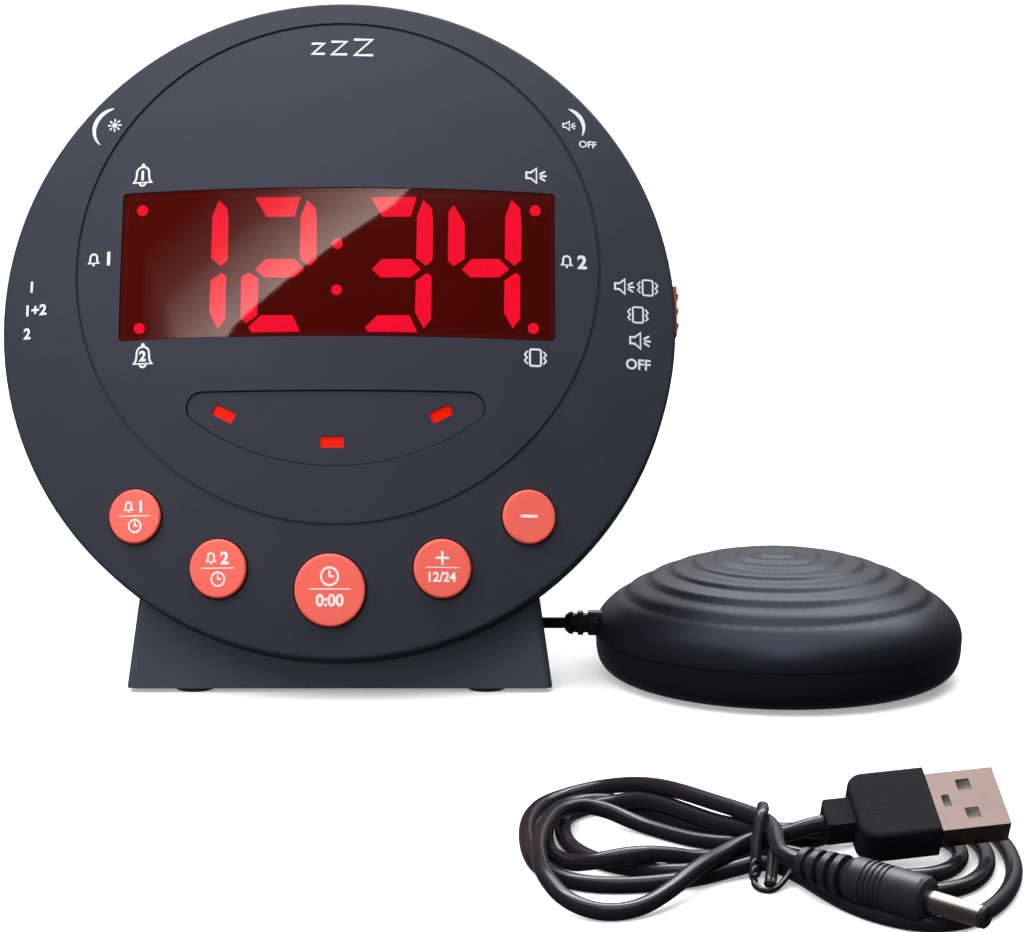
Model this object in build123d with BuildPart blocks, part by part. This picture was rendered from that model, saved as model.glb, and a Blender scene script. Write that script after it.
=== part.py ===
from build123d import *
import math
import os

os.makedirs("parts", exist_ok=True)

# Round bed-shaker alarm clock on a wedge stand, with its vibrating puck on a
# thin lead and a loose, tied power lead lying in front.
# Row frame: origin on the table, midway between the four stand feet, -Y is
# the front of the clock, +X its right as seen from the front, +Z up.

# ------------------------------------------------------------ driving sizes
LEAN = 19.0                    # the dial leans back by this many degrees
FACE_Y, FACE_Z = -18.0, 75.8   # centre of the dial's rim plane
FACE_R = 70.0                  # dial radius
DOME_R = 200.0                 # radius of the dial's shallow dome
SKIN = 2.2                     # moulded wall
SEAM = -8.0                    # front shell ends here, behind the rim plane
DEPTH = -42.0                  # flat back of the body

WIN_W, WIN_H, WIN_V = 89.6, 31.75, 10.58   # display window
RING_R, RING_V = 54.05, 10.6               # fine ring groove round the window
SMILE_TOP, SMILE_R, SMILE_C, SMILE_F = -16.3, 49.7, 18.0, 3.3

# x, v, radius of the five round buttons
BUTTONS = {
    "al1_button": (-40.9, -41.2, 5.4),
    "al2_button": (-23.75, -51.95, 5.85),
    "time_button": (-1.0, -56.35, 7.2),
    "up_button": (21.8, -51.95, 5.85),
    "down_button": (39.4, -41.3, 5.4),
}
BUTTON_PROUD = 1.3
BUTTON_TRAVEL = 1.0

WHEEL_ANGLE, WHEEL_RC, WHEEL_R = 41.0, 60.5, 9.0
MODE_V, MODE_TRAVEL, MODE_LEN = 5.4, 10.8, 10.4
ALARM_V, ALARM_TRAVEL, ALARM_LEN = 2.5, 3.6, 8.0
CASE_SCREW_R, CASE_SCREW_ANGLES = 58.0, (65.0, 115.0, -25.0, 205.0)

DC_X, SHAKER_X, JACK_V = 28.0, -28.0, -22.0

STAND_FLOOR, STAND_TOP = 1.0, 32.0
STAND_WALL = 2.4
FOOT_X, FOOT_Y, FOOT_R = 30.5, 25.0, 4.0

PUCK_X, PUCK_Y, PUCK_R, PUCK_H = 92.4, -14.0, 39.5, 26.8
PUCK_SEAM, RELIEF_Z = 9.5, 11.5

LEAD_D = 2.4                   # shaker lead
COIL_X, COIL_Y, COIL_MID_R = 0.0, 94.0, 14.4
USB_D = 2.8                    # power lead

lean = math.radians(LEAN)
SN, CS = math.sin(lean), math.cos(lean)
DOME_H = DOME_R - math.sqrt(DOME_R ** 2 - FACE_R ** 2)
DOME_W = DOME_H - DOME_R       # dome centre, along the dial's normal

FACE = Plane(origin=(0, FACE_Y, FACE_Z), x_dir=(1, 0, 0), z_dir=(0, -CS, SN))
TURN = Plane(origin=(0, FACE_Y, FACE_Z), x_dir=(1, 0, 0), z_dir=(0, -SN, -CS))
AXIS = Axis((0, FACE_Y, FACE_Z), (0, -CS, SN))


def at(x, v, w):
    """Row-frame point from dial coordinates: right, up the dial, out of it."""
    return (x, FACE_Y + v * SN - w * CS, FACE_Z + v * CS + w * SN)


DOME_O = at(0, 0, DOME_W)


def dome(r, radius=DOME_R):
    return math.sqrt(radius * radius - r * r) + DOME_W


def turn_at(x, v):
    """Plane and axis for turned pieces whose axis is parallel to the dial's."""
    o = at(x, v, 0)
    return (Plane(origin=o, x_dir=(1, 0, 0), z_dir=(0, -SN, -CS)),
            Axis(o, (0, -CS, SN)))


def write(part, label):
    part.label = label
    export_step(part, "parts/" + label + ".step")


def screw_points():
    return [(CASE_SCREW_R * math.cos(math.radians(a)),
             CASE_SCREW_R * math.sin(math.radians(a)))
            for a in CASE_SCREW_ANGLES]


def smile_profile(plane, grow):
    """Alert-light panel: straight top, deep round bottom, rounded corners."""
    top, r = SMILE_TOP + grow, SMILE_R + grow
    x = math.sqrt(r * r - (SMILE_C - top) ** 2)
    with BuildSketch(plane) as s:
        with BuildLine():
            Line((-x, top), (x, top))
            ThreePointArc((x, top), (0, SMILE_C - r), (-x, top))
        make_face()
        fillet(s.vertices(), SMILE_F + grow)
    return s.sketch


# ------------------------------------------------- cutting tools for the dial
with BuildPart() as window_pocket:
    with BuildSketch(FACE):
        with Locations((0, WIN_V)):
            RectangleRounded(WIN_W, WIN_H, 0.8)
    extrude(amount=20)
    with Locations(DOME_O):
        Sphere(DOME_R - 1.3, mode=Mode.SUBTRACT)

with BuildPart() as ring_groove:
    with BuildSketch(FACE):
        with Locations((0, RING_V)):
            Circle(RING_R + 0.35)
            Circle(RING_R - 0.35, mode=Mode.SUBTRACT)
    extrude(amount=20)
    with Locations(DOME_O):
        Sphere(DOME_R - 0.55, mode=Mode.SUBTRACT)

with BuildPart() as dome_core:
    with BuildSketch(FACE.offset(-14)):
        Circle(66.5)
    extrude(amount=40)
    with Locations(DOME_O):
        Sphere(DOME_R - SKIN + 0.4, mode=Mode.INTERSECT)

with BuildPart() as screw_posts:
    with BuildSketch(FACE.offset(-9.8)):
        with Locations(*screw_points()):
            Circle(3.2)
    extrude(amount=24)
    add(dome_core.part, mode=Mode.INTERSECT)

# ------------------------------------------------------------------ front shell
with BuildPart() as front_shell:
    with BuildSketch(TURN):
        with BuildLine():
            ThreePointArc((0, DOME_H), (36, dome(36)), (69.2, dome(69.2)))
            ThreePointArc((69.2, dome(69.2)), (69.78, -0.12), (70, -0.9))
            Line((70, -0.9), (70, SEAM))
            Line((70, SEAM), (67.8, SEAM))
            Line((67.8, SEAM), (67.8, dome(67.8, DOME_R - SKIN)))
            ThreePointArc((67.8, dome(67.8, DOME_R - SKIN)),
                          (36, dome(36, DOME_R - SKIN)),
                          (0, DOME_H - SKIN))
            Line((0, DOME_H - SKIN), (0, DOME_H))
        make_face()
    revolve(axis=AXIS)
    add(screw_posts.part)
    add(window_pocket.part, mode=Mode.SUBTRACT)
    add(ring_groove.part, mode=Mode.SUBTRACT)
    # window through-opening, leaving a ledge under the lens
    with BuildSketch(FACE.offset(-2)):
        with Locations((0, WIN_V)):
            RectangleRounded(WIN_W - 2.4, WIN_H - 2.4, 0.8)
    extrude(amount=20, mode=Mode.SUBTRACT)
    # opening of the alert-light panel
    extrude(smile_profile(FACE.offset(-2), 0.0), amount=20, mode=Mode.SUBTRACT)
    # five button holes
    for bx, bv, br in BUTTONS.values():
        with BuildSketch(FACE.offset(-4)):
            with Locations((bx, bv)):
                Circle(br + 0.3)
        extrude(amount=20, mode=Mode.SUBTRACT)
    # pilot holes in the four posts
    with BuildSketch(FACE.offset(-9.8)):
        with Locations(*screw_points()):
            Circle(1.5)
    extrude(amount=9.0, mode=Mode.SUBTRACT)
write(front_shell.part, "front_shell")

# ----------------------------------------------------------- display and panel
with BuildPart() as display_lens:
    with BuildSketch(FACE):
        with Locations((0, WIN_V)):
            RectangleRounded(WIN_W - 0.36, WIN_H - 0.36, 0.65)
    extrude(amount=20)
    with Locations(DOME_O):
        Sphere(DOME_R - 0.12, mode=Mode.INTERSECT)
        Sphere(DOME_R - 1.28, mode=Mode.SUBTRACT)
write(display_lens.part, "display_lens")

with BuildPart() as display_module:
    with BuildSketch(FACE.offset(-6.55)):
        with Locations((0, WIN_V)):
            RectangleRounded(86.4, 28.6, 0.8)
    extrude(amount=11.15)
write(display_module.part, "display_module")

UR = [(-0.3, 25.4), (1.45, 23.7), (1.75, 21.1), (1.7, 12.6), (0.35, 11.35), (-1.7, 13.0), (-1.6, 21.9)]
UL = [(-0.5, 24.3), (1.75, 20.4), (1.75, 12.8), (-0.6, 11.3), (-1.75, 12.4), (-1.65, 23.0)]
LR = [(0.55, 9.85), (1.5, 9.1), (1.45, 0.1), (-0.05, -1.95), (-1.85, 1.4), (-1.75, 8.2)]
LL = [(-0.2, 9.9), (1.75, 8.7), (1.7, 0.8), (-0.6, -0.8), (-1.7, 0.25), (-1.75, 9.0)]


def bar_top(xl, xr):
    return [(xl + 0.9, 26.0), (xr - 1.7, 26.1), (xr - 2.9, 21.9), (xl + 3.3, 21.85)]


def bar_mid(xl, xr):
    return [(xl + 1.15, 10.6), (xl + 3.2, 12.8), (xr - 2.8, 12.8),
            (xr - 0.8, 10.6), (xr - 2.8, 8.95), (xl + 3.0, 8.9)]


def bar_low(xl, xr):
    return [(xl - 0.1, -1.65), (xl + 2.4, 0.85), (xr - 3.0, 0.85),
            (xr - 1.4, -2.75), (xl + 0.5, -2.75)]


def shifted(points, x):
    return [(px + x, pv) for px, pv in points]


# lit bars of 12:34, left and right column centres of each figure
D1, D2, D3, D4 = (-36.8, -24.75), (-18.4, -6.4), (5.7, 17.75), (24.35, 36.1)
LIT = [shifted(UR, D1[1]), shifted(LR, D1[1]),
       bar_top(*D2), shifted(UR, D2[1]), bar_mid(*D2), shifted(LL, D2[0]), bar_low(*D2),
       bar_top(*D3), shifted(UR, D3[1]), bar_mid(*D3), shifted(LR, D3[1]), bar_low(*D3),
       shifted(UL, D4[0]), bar_mid(*D4), shifted(UR, D4[1]), shifted(LR, D4[1])]
DOTS = [(-40.9, 23.15, 1.15), (40.7, 23.15, 1.15), (-41.0, -1.95, 1.15),
        (40.3, -1.95, 1.15), (-0.4, 6.26, 1.1), (-0.3, 16.1, 1.1)]

with BuildPart() as display_segments:
    for outline in LIT:
        with BuildSketch(FACE.offset(4.6)):
            Polygon(*outline, align=None)
        extrude(amount=0.16)
    for dx, dv, dr in DOTS:
        with BuildSketch(FACE.offset(4.6)):
            with Locations((dx, dv)):
                Circle(dr)
        extrude(amount=0.16)
write(display_segments.part, "display_segments")

LIGHTS = [(-22.7, -20.9, -27.0, 4.6, 2.3), (-0.65, -26.78, 0.0, 4.9, 2.3),
          (21.45, -20.88, 27.0, 4.6, 2.3)]
with BuildPart() as alert_panel:
    extrude(smile_profile(FACE, -0.22), amount=20)
    with Locations(DOME_O):
        Sphere(DOME_R - 0.5, mode=Mode.INTERSECT)
        Sphere(DOME_R - 3.1, mode=Mode.SUBTRACT)
    for lx, lv, la, lw, lh in LIGHTS:
        with BuildSketch(FACE):
            with Locations(Location((lx, lv, 0), la)):
                RectangleRounded(lw, lh, 0.3)
        extrude(amount=20, mode=Mode.SUBTRACT)
write(alert_panel.part, "alert_panel")

with BuildPart() as alert_lights:
    for lx, lv, la, lw, lh in LIGHTS:
        with BuildSketch(FACE):
            with Locations(Location((lx, lv, 0), la)):
                RectangleRounded(lw - 0.08, lh - 0.08, 0.26)
        extrude(amount=20)
    with Locations(DOME_O):
        Sphere(DOME_R - 1.1, mode=Mode.INTERSECT)
        Sphere(DOME_R - 3.1, mode=Mode.SUBTRACT)
write(alert_lights.part, "alert_lights")

with BuildPart() as alert_leds:
    with BuildSketch(FACE.offset(-6.55)):
        with Locations(*[(light[0], light[1]) for light in LIGHTS]):
            Circle(2.0)
    extrude(amount=8.6)
    crowns = [s.faces().sort_by(AXIS)[-1].edges() for s in alert_leds.solids()]
    fillet([e for ring in crowns for e in ring], 1.5)
write(alert_leds.part, "alert_leds")

# -------------------------------------------------------------- circuit boards
with BuildPart() as main_board:
    with BuildSketch(FACE.offset(-8.2)):
        Circle(64)
        with Locations((0, -80.5)):
            Rectangle(140, 100, mode=Mode.SUBTRACT)
        with Locations(*screw_points()):
            Circle(3.8, mode=Mode.SUBTRACT)
    extrude(amount=1.6)
write(main_board.part, "main_board")

with BuildPart() as board_parts:
    # voltage regulator, clock chip, buzzer driver and two capacitors
    for px, pv, pw, ph, pt in ((0, -14, 12, 12, 1.8), (-20, -16, 9, 6, 1.6),
                               (20, -16, 8, 6, 1.6), (-40, 8, 7, 5, 1.6)):
        with BuildSketch(FACE.offset(-8.2 - pt)):
            with Locations((px, pv)):
                Rectangle(pw, ph)
        extrude(amount=pt)
    for px, pv in ((36, -8), (44, 4)):
        with BuildSketch(FACE.offset(-17.2)):
            with Locations((px, pv)):
                Circle(3.1)
        extrude(amount=9.0)
write(board_parts.part, "board_parts")

with BuildPart() as button_board:
    with BuildSketch(FACE.offset(-8.6)):
        Circle(64)
        with Locations((0, 18.5)):
            Rectangle(140, 100, mode=Mode.SUBTRACT)
    extrude(amount=1.6)
write(button_board.part, "button_board")

with BuildPart() as tact_switches:
    for bx, bv, br in BUTTONS.values():
        with BuildSketch(FACE.offset(-7.0)):
            with Locations((bx, bv)):
                Rectangle(6, 6)
        extrude(amount=3.4)
        with BuildSketch(FACE.offset(-3.6)):
            with Locations((bx, bv)):
                Circle(1.7)
        extrude(amount=0.8)
write(tact_switches.part, "tact_switches")


# --------------------------------------------------------------- face buttons
def face_button(bx, bv, br):
    """Domed cap following the dial, with a retaining flange under the skin."""
    with BuildPart() as b:
        with BuildSketch(FACE.offset(-0.8)):
            with Locations((bx, bv)):
                Circle(br)
        extrude(amount=20)
        with Locations(DOME_O):
            Sphere(DOME_R + BUTTON_PROUD, mode=Mode.INTERSECT)
        top = b.faces().sort_by(AXIS)[-1]
        fillet(top.edges(), 0.55)
        with BuildSketch(FACE.offset(-1.6)):
            with Locations((bx, bv)):
                Circle(br + 0.9)
        extrude(amount=1.0)
    return b.part


al1_button = face_button(*BUTTONS["al1_button"])
write(al1_button, "al1_button")
al2_button = face_button(*BUTTONS["al2_button"])
write(al2_button, "al2_button")
time_button = face_button(*BUTTONS["time_button"])
write(time_button, "time_button")
up_button = face_button(*BUTTONS["up_button"])
write(up_button, "up_button")
down_button = face_button(*BUTTONS["down_button"])
write(down_button, "down_button")

# ----------------------------------------------------------------- rear shell
with BuildPart() as bowl_outer:
    with BuildSketch(TURN):
        with BuildLine():
            FilletPolyline((68.6, SEAM - 0.2), (66.8, -26), (50.5, DEPTH), (0, DEPTH),
                           radius=(14, 8))
            Polyline((0, DEPTH), (0, SEAM - 0.2), (68.6, SEAM - 0.2))
        make_face()
    revolve(axis=AXIS)

with BuildPart() as bowl_inner:
    with BuildSketch(TURN):
        with BuildLine():
            FilletPolyline((66.4, SEAM - 0.2), (64.7, -25.2), (49.6, DEPTH + SKIN),
                           (0, DEPTH + SKIN), radius=(12, 6))
            Polyline((0, DEPTH + SKIN), (0, SEAM), (66.4, SEAM), (66.4, SEAM - 0.2))
        make_face()
    revolve(axis=AXIS)

with BuildPart() as screw_wells:
    with BuildSketch(FACE.offset(-46)):
        with Locations(*screw_points()):
            Circle(5.0)
    extrude(amount=36)
    add(bowl_outer.part, mode=Mode.INTERSECT)

with BuildPart() as rear_shell:
    add(bowl_outer.part)
    add(bowl_inner.part, mode=Mode.SUBTRACT)
    # register lip inside the front shell
    with BuildSketch(FACE.offset(SEAM - 1.4)):
        Circle(67.5)
        Circle(65.9, mode=Mode.SUBTRACT)
    extrude(amount=4.8)
    add(screw_wells.part)
    with BuildSketch(FACE.offset(-60)):
        with Locations(*screw_points()):
            Circle(3.4)
    extrude(amount=48, mode=Mode.SUBTRACT)
    with BuildSketch(FACE.offset(-14)):
        with Locations(*screw_points()):
            Circle(1.7)
    extrude(amount=8, mode=Mode.SUBTRACT)
    # snooze bar opening at the crown
    with BuildSketch(FACE.offset(-26.4)):
        with Locations((0, 70)):
            Rectangle(36.8, 22)
    extrude(amount=14.8, mode=Mode.SUBTRACT)
    # slots of the two slide switches
    with BuildSketch(FACE.offset(-14.0)):
        with Locations((68, 0)):
            Rectangle(9, 22.0)
        with Locations((-68, ALARM_V)):
            Rectangle(9, ALARM_LEN + 2 * ALARM_TRAVEL + 0.6)
    extrude(amount=4.4, mode=Mode.SUBTRACT)
    # slots of the two thumbwheels
    with BuildSketch(FACE.offset(-15.8)):
        for a in (WHEEL_ANGLE, 180 - WHEEL_ANGLE):
            with Locations((WHEEL_RC * math.cos(math.radians(a)),
                            WHEEL_RC * math.sin(math.radians(a)))):
                Circle(WHEEL_R + 0.6)
    extrude(amount=4.8, mode=Mode.SUBTRACT)
    # speaker grille: rings of round holes
    with BuildSketch(FACE.offset(DEPTH - 2)):
        with Locations((0, 14)):
            Circle(1.1)
            for ring_r, ring_n in ((4.4, 6), (8.8, 12), (13.2, 18)):
                with PolarLocations(ring_r, ring_n):
                    Circle(1.1)
    extrude(amount=6, mode=Mode.SUBTRACT)
    # power and shaker sockets
    with BuildSketch(FACE.offset(DEPTH - 2)):
        with Locations((DC_X, JACK_V)):
            Circle(2.7)
        with Locations((SHAKER_X, JACK_V)):
            Circle(2.7)
    extrude(amount=6, mode=Mode.SUBTRACT)
write(rear_shell.part, "rear_shell")

with BuildPart() as case_screws:
    for sx, sv in screw_points():
        spl, sax = turn_at(sx, sv)
        with BuildSketch(spl):
            Polygon((0, -12.02), (2.8, -12.02), (2.8, -13.0), (2.2, -13.9),
                    (0.0, -13.9), align=None)
            Polygon((0, -12.02), (1.45, -12.02), (1.45, -2.2), (0.9, -1.4),
                    (0, -1.4), align=None)
        revolve(axis=sax)
    with BuildSketch(FACE.offset(-14)):
        with Locations(*screw_points()):
            Rectangle(3.0, 0.6)
            Rectangle(0.6, 3.0)
    extrude(amount=0.8, mode=Mode.SUBTRACT)
write(case_screws.part, "case_screws")

# -------------------------------------------------------------- snooze bar
with BuildPart() as snooze_button:
    with BuildSketch(FACE.offset(-26.0)):
        Circle(69.4)
        with Locations((0, 109.4)):
            Rectangle(36.0, 101.8, mode=Mode.INTERSECT)
    extrude(amount=14.0)
    fillet(snooze_button.edges().filter_by(GeomType.CIRCLE), 0.9)
    # hollow underneath, with a post over the switch
    with BuildSketch(FACE.offset(-24.0)):
        with Locations((0, 62.0)):
            Rectangle(32.0, 8.0)
            Rectangle(3.6, 8.0, mode=Mode.SUBTRACT)
    extrude(amount=10.0, mode=Mode.SUBTRACT)
write(snooze_button.part, "snooze_button")

with BuildPart() as snooze_switch:
    with BuildSketch(FACE.offset(-22.0)):
        with Locations((0, 51.8)):
            Rectangle(6, 7.0)
        with Locations((0, 55.9)):
            Rectangle(3.4, 1.2)
    extrude(amount=6.0)
    # little upright board that carries it, soldered to the main board
    with BuildSketch(FACE.offset(-24.0)):
        with Locations((0, 47.5)):
            Rectangle(14, 1.6)
    extrude(amount=15.8)
write(snooze_switch.part, "snooze_switch")


# ------------------------------------------------------- thumbwheels and pots
def wheel_centre(angle):
    a = math.radians(angle)
    return WHEEL_RC * math.cos(a), WHEEL_RC * math.sin(a)


def thumbwheel(angle):
    with BuildPart() as wh:
        with BuildSketch(FACE.offset(-15.3)):
            with Locations(wheel_centre(angle)):
                Circle(WHEEL_R)
                Circle(1.55, mode=Mode.SUBTRACT)
                with PolarLocations(WHEEL_R + 0.1, 36):
                    Circle(0.38, mode=Mode.SUBTRACT)
        extrude(amount=3.8)
    return wh.part


with BuildPart() as wheel_pots:
    for angle in (WHEEL_ANGLE, 180 - WHEEL_ANGLE):
        with BuildSketch(FACE.offset(-11.2)):
            with Locations(wheel_centre(angle)):
                Circle(5.0)
        extrude(amount=3.0)
        with BuildSketch(FACE.offset(-15.1)):
            with Locations(wheel_centre(angle)):
                Circle(1.5)
        extrude(amount=4.0)
write(wheel_pots.part, "wheel_pots")


dimmer_wheel = thumbwheel(180 - WHEEL_ANGLE)
write(dimmer_wheel, "dimmer_wheel")
volume_wheel = thumbwheel(WHEEL_ANGLE)
write(volume_wheel, "volume_wheel")

# ------------------------------------------------------------- slide switches
with BuildPart() as slide_switch_bodies:
    with BuildSketch(FACE.offset(-15.4)):
        with Locations((60.7, 0)):
            Rectangle(7.6, 20.0)
        with Locations((-60.7, ALARM_V)):
            Rectangle(7.6, 14.0)
    extrude(amount=7.15)
write(slide_switch_bodies.part, "slide_switch_bodies")

with BuildPart() as mode_select_knob:
    with BuildSketch(FACE.offset(-13.6)):
        with Locations((67.75, MODE_V)):
            Rectangle(6.3, MODE_LEN)
        with Locations((70.85, MODE_V)):
            with Locations((0, -3.2), (0, 0), (0, 3.2)):
                Circle(0.45)
    extrude(amount=3.6)
write(mode_select_knob.part, "mode_select_knob")

with BuildPart() as alarm_select_knob:
    with BuildSketch(FACE.offset(-13.6)):
        with Locations((-67.2, ALARM_V)):
            Rectangle(5.2, ALARM_LEN)
        with Locations((-69.8, ALARM_V)):
            with Locations((0, -2.4), (0, 0), (0, 2.4)):
                Circle(0.4)
    extrude(amount=3.6)
write(alarm_select_knob.part, "alarm_select_knob")

# --------------------------------------------------------------------- speaker
SPK, SPK_AXIS = turn_at(0, 14)
with BuildPart() as speaker_frame:
    with BuildSketch(SPK):
        Polygon((20, -39.7), (20, -38.5), (17.4, -38.5), (11.6, -31.6), (0, -31.6),
                (0, -32.8), (10.8, -32.8), (16.4, -39.7), align=None)
    revolve(axis=SPK_AXIS)
write(speaker_frame.part, "speaker_frame")

with BuildPart() as speaker_magnet:
    with BuildSketch(SPK):
        Polygon((0, -31.55), (10.5, -31.55), (10.5, -25.5), (0, -25.5), align=None)
    revolve(axis=SPK_AXIS)
    chamfer(speaker_magnet.edges().filter_by(GeomType.CIRCLE), 0.5)
write(speaker_magnet.part, "speaker_magnet")

with BuildPart() as speaker_cone:
    with BuildSketch(SPK):
        Polygon((15.9, -39.5), (15.9, -39.1), (14.9, -39.1), (6.6, -33.4), (0, -34.6),
                (0, -35.0), (6.5, -33.9), (14.7, -39.5), align=None)
    revolve(axis=SPK_AXIS)
write(speaker_cone.part, "speaker_cone")

# --------------------------------------------------------------------- sockets
with BuildPart() as dc_jack:
    with BuildSketch(FACE.offset(-39.75)):
        with Locations((DC_X, JACK_V)):
            RectangleRounded(10, 11, 1.0)
    extrude(amount=14)
    with BuildSketch(FACE.offset(-39.75)):
        with Locations((DC_X, JACK_V)):
            Circle(1.9)
            Circle(0.6, mode=Mode.SUBTRACT)
    extrude(amount=9.5, mode=Mode.SUBTRACT)
write(dc_jack.part, "dc_jack")

with BuildPart() as shaker_jack:
    with BuildSketch(FACE.offset(-39.75)):
        with Locations((SHAKER_X, JACK_V)):
            RectangleRounded(9, 10, 1.0)
    extrude(amount=14)
    with BuildSketch(FACE.offset(-39.75)):
        with Locations((SHAKER_X, JACK_V)):
            Circle(1.85)
    extrude(amount=10, mode=Mode.SUBTRACT)
write(shaker_jack.part, "shaker_jack")

PLG, PLG_AXIS = turn_at(SHAKER_X, JACK_V)
PLUG_END = -71.0
with BuildPart() as shaker_plug:
    with BuildSketch(PLG):
        Polygon((0, -30.5), (1.3, -30.5), (1.75, -31.2), (1.75, -42.15), (3.9, -42.15),
                (4.5, -42.8), (4.5, -46.0), (4.2, -46.3), (4.2, -46.9), (4.5, -47.2),
                (4.5, -48.6), (4.2, -48.9), (4.2, -49.5), (4.5, -49.8), (4.5, -51.2),
                (4.2, -51.5), (4.2, -52.1), (4.5, -52.4), (4.5, -58.0), (3.4, -59.2),
                (3.0, -59.4), (1.75, PLUG_END), (0, PLUG_END), align=None)
    revolve(axis=PLG_AXIS)
write(shaker_plug.part, "shaker_plug")


# ----------------------------------------------------------------------- stand
def stand_plan(z, inset, roof):
    """Plan of the stand at one height; narrower and drawn in towards the roof."""
    k = (z - STAND_FLOOR) / (STAND_TOP - STAND_FLOOR)
    fx, bx = 44.3 - 4.4 * k - inset, 29.6 - 0.8 * k - inset
    mx = 30.3 - 1.0 * k - inset
    fy, sy = -30.0 + 3.2 * k + inset, -26.6 + 3.0 * k
    return [(fx, fy), (fx, sy), (mx, -7.0), (bx, 34.0 - inset),
            (-bx, 34.0 - inset), (-mx, -7.0), (-fx, sy), (-fx, fy)]


with BuildPart() as body_clear:
    # room for the body of the clock: its bowl and its front shell
    with BuildSketch(TURN):
        with BuildLine():
            FilletPolyline((68.75, SEAM - 0.6), (66.95, -26.1), (50.6, DEPTH - 0.15),
                           (0, DEPTH - 0.15), radius=(14.15, 8.15))
            Polyline((0, DEPTH - 0.15), (0, 30), (70.5, 30), (70.5, SEAM - 0.6),
                     (68.75, SEAM - 0.6))
        make_face()
    revolve(axis=AXIS)

with BuildPart() as body_clear_in:
    with BuildSketch(TURN):
        with BuildLine():
            FilletPolyline((71.2, SEAM - 3.0), (69.4, -27.2), (51.6, DEPTH - 2.6),
                           (0, DEPTH - 2.6), radius=(16.6, 10.6))
            Polyline((0, DEPTH - 2.6), (0, 30), (73.0, 30), (73.0, SEAM - 3.0),
                     (71.2, SEAM - 3.0))
        make_face()
    revolve(axis=AXIS)

with BuildPart() as stand_cavity:
    with BuildSketch(Plane.XY.offset(STAND_FLOOR - 1)):
        Polygon(*stand_plan(STAND_FLOOR - 1, STAND_WALL, False), align=None)
    with BuildSketch(Plane.XY.offset(STAND_TOP - STAND_WALL)):
        Polygon(*stand_plan(STAND_TOP - STAND_WALL, STAND_WALL, True), align=None)
    loft(ruled=True)
    with BuildSketch(Plane.YZ.offset(-60)):
        Polygon((40, 9.6), (40, 40), (9.6, 40), align=None)
    extrude(amount=120, mode=Mode.SUBTRACT)
    add(body_clear_in.part, mode=Mode.SUBTRACT)

with BuildPart() as stand:
    with BuildSketch(Plane.XY.offset(STAND_FLOOR)) as plan_low:
        Polygon(*stand_plan(STAND_FLOOR, 0, False), align=None)
        fillet(plan_low.vertices(), 1.6)
    with BuildSketch(Plane.XY.offset(STAND_TOP)) as plan_high:
        Polygon(*stand_plan(STAND_TOP, 0, True), align=None)
        fillet(plan_high.vertices(), 1.6)
    loft(ruled=True)
    # sloping shoulder at the back
    with BuildSketch(Plane.YZ.offset(-60)):
        Polygon((40, 13.0), (40, 40), (13.0, 40), align=None)
    extrude(amount=120, mode=Mode.SUBTRACT)
    add(stand_cavity.part, mode=Mode.SUBTRACT)
    # flat recess for the base plate
    with BuildSketch(Plane.XY.offset(STAND_FLOOR - 0.5)):
        Polygon(*stand_plan(STAND_FLOOR, STAND_WALL, False), align=None)
    extrude(amount=2.4, mode=Mode.SUBTRACT)
    # screw posts, running up into the wall under the body
    with BuildSketch(Plane.XY.offset(2.95)):
        with Locations((35.5, -22.0), (-35.5, -22.0), (22.0, 2.0), (-22.0, 2.0)):
            Circle(2.9)
    extrude(amount=20)
    add(body_clear.part, mode=Mode.SUBTRACT)
    with BuildSketch(Plane.XY.offset(2.0)):
        with Locations((35.5, -22.0), (-35.5, -22.0), (22.0, 2.0), (-22.0, 2.0)):
            Circle(1.15)
    extrude(amount=6.5, mode=Mode.SUBTRACT)
    # battery opening in the back wall
    with BuildSketch(Plane.XZ.offset(-36)):
        with Locations((0, 9.6)):
            RectangleRounded(48.4, 12.4, 1.2)
    extrude(amount=6, mode=Mode.SUBTRACT)
write(stand.part, "stand")

with BuildPart() as base_plate:
    with BuildSketch(Plane.XY.offset(STAND_FLOOR)):
        Polygon(*stand_plan(STAND_FLOOR, STAND_WALL + 0.2, False), align=None)
        with Locations((35.5, -22.0), (-35.5, -22.0), (22.0, 2.0), (-22.0, 2.0)):
            Circle(1.4, mode=Mode.SUBTRACT)
    extrude(amount=1.8)
    with BuildSketch(Plane.XY.offset(STAND_FLOOR)):
        with Locations((35.5, -22.0), (-35.5, -22.0), (22.0, 2.0), (-22.0, 2.0)):
            Circle(2.5)
    extrude(amount=0.8, mode=Mode.SUBTRACT)
write(base_plate.part, "base_plate")

with BuildPart() as base_screws:
    for px, py in ((35.5, -22.0), (-35.5, -22.0), (22.0, 2.0), (-22.0, 2.0)):
        with BuildSketch(Plane.XY.offset(1.1)):
            with Locations((px, py)):
                Circle(2.2)
        extrude(amount=0.7)
        with BuildSketch(Plane.XY.offset(1.8)):
            with Locations((px, py)):
                Circle(1.1)
        extrude(amount=6.0)
write(base_screws.part, "base_screws")

with BuildPart() as rubber_feet:
    with BuildSketch(Plane.XY):
        with Locations((FOOT_X, -FOOT_Y), (-FOOT_X, -FOOT_Y),
                       (22.0, FOOT_Y), (-22.0, FOOT_Y)):
            Circle(FOOT_R)
    extrude(amount=STAND_FLOOR)
write(rubber_feet.part, "rubber_feet")

# --------------------------------------------------------- backup batteries
with BuildPart() as battery_tray:
    with BuildSketch(Plane.XY.offset(2.85)):
        with Locations((0, 20.3)):
            Rectangle(51.0, 22.0)
    extrude(amount=13.2)
    with BuildSketch(Plane.XY.offset(3.85)):
        with Locations((0, 25.4)):
            Rectangle(48.2, 30.0)
    extrude(amount=11.3, mode=Mode.SUBTRACT)
write(battery_tray.part, "battery_tray")

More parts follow.
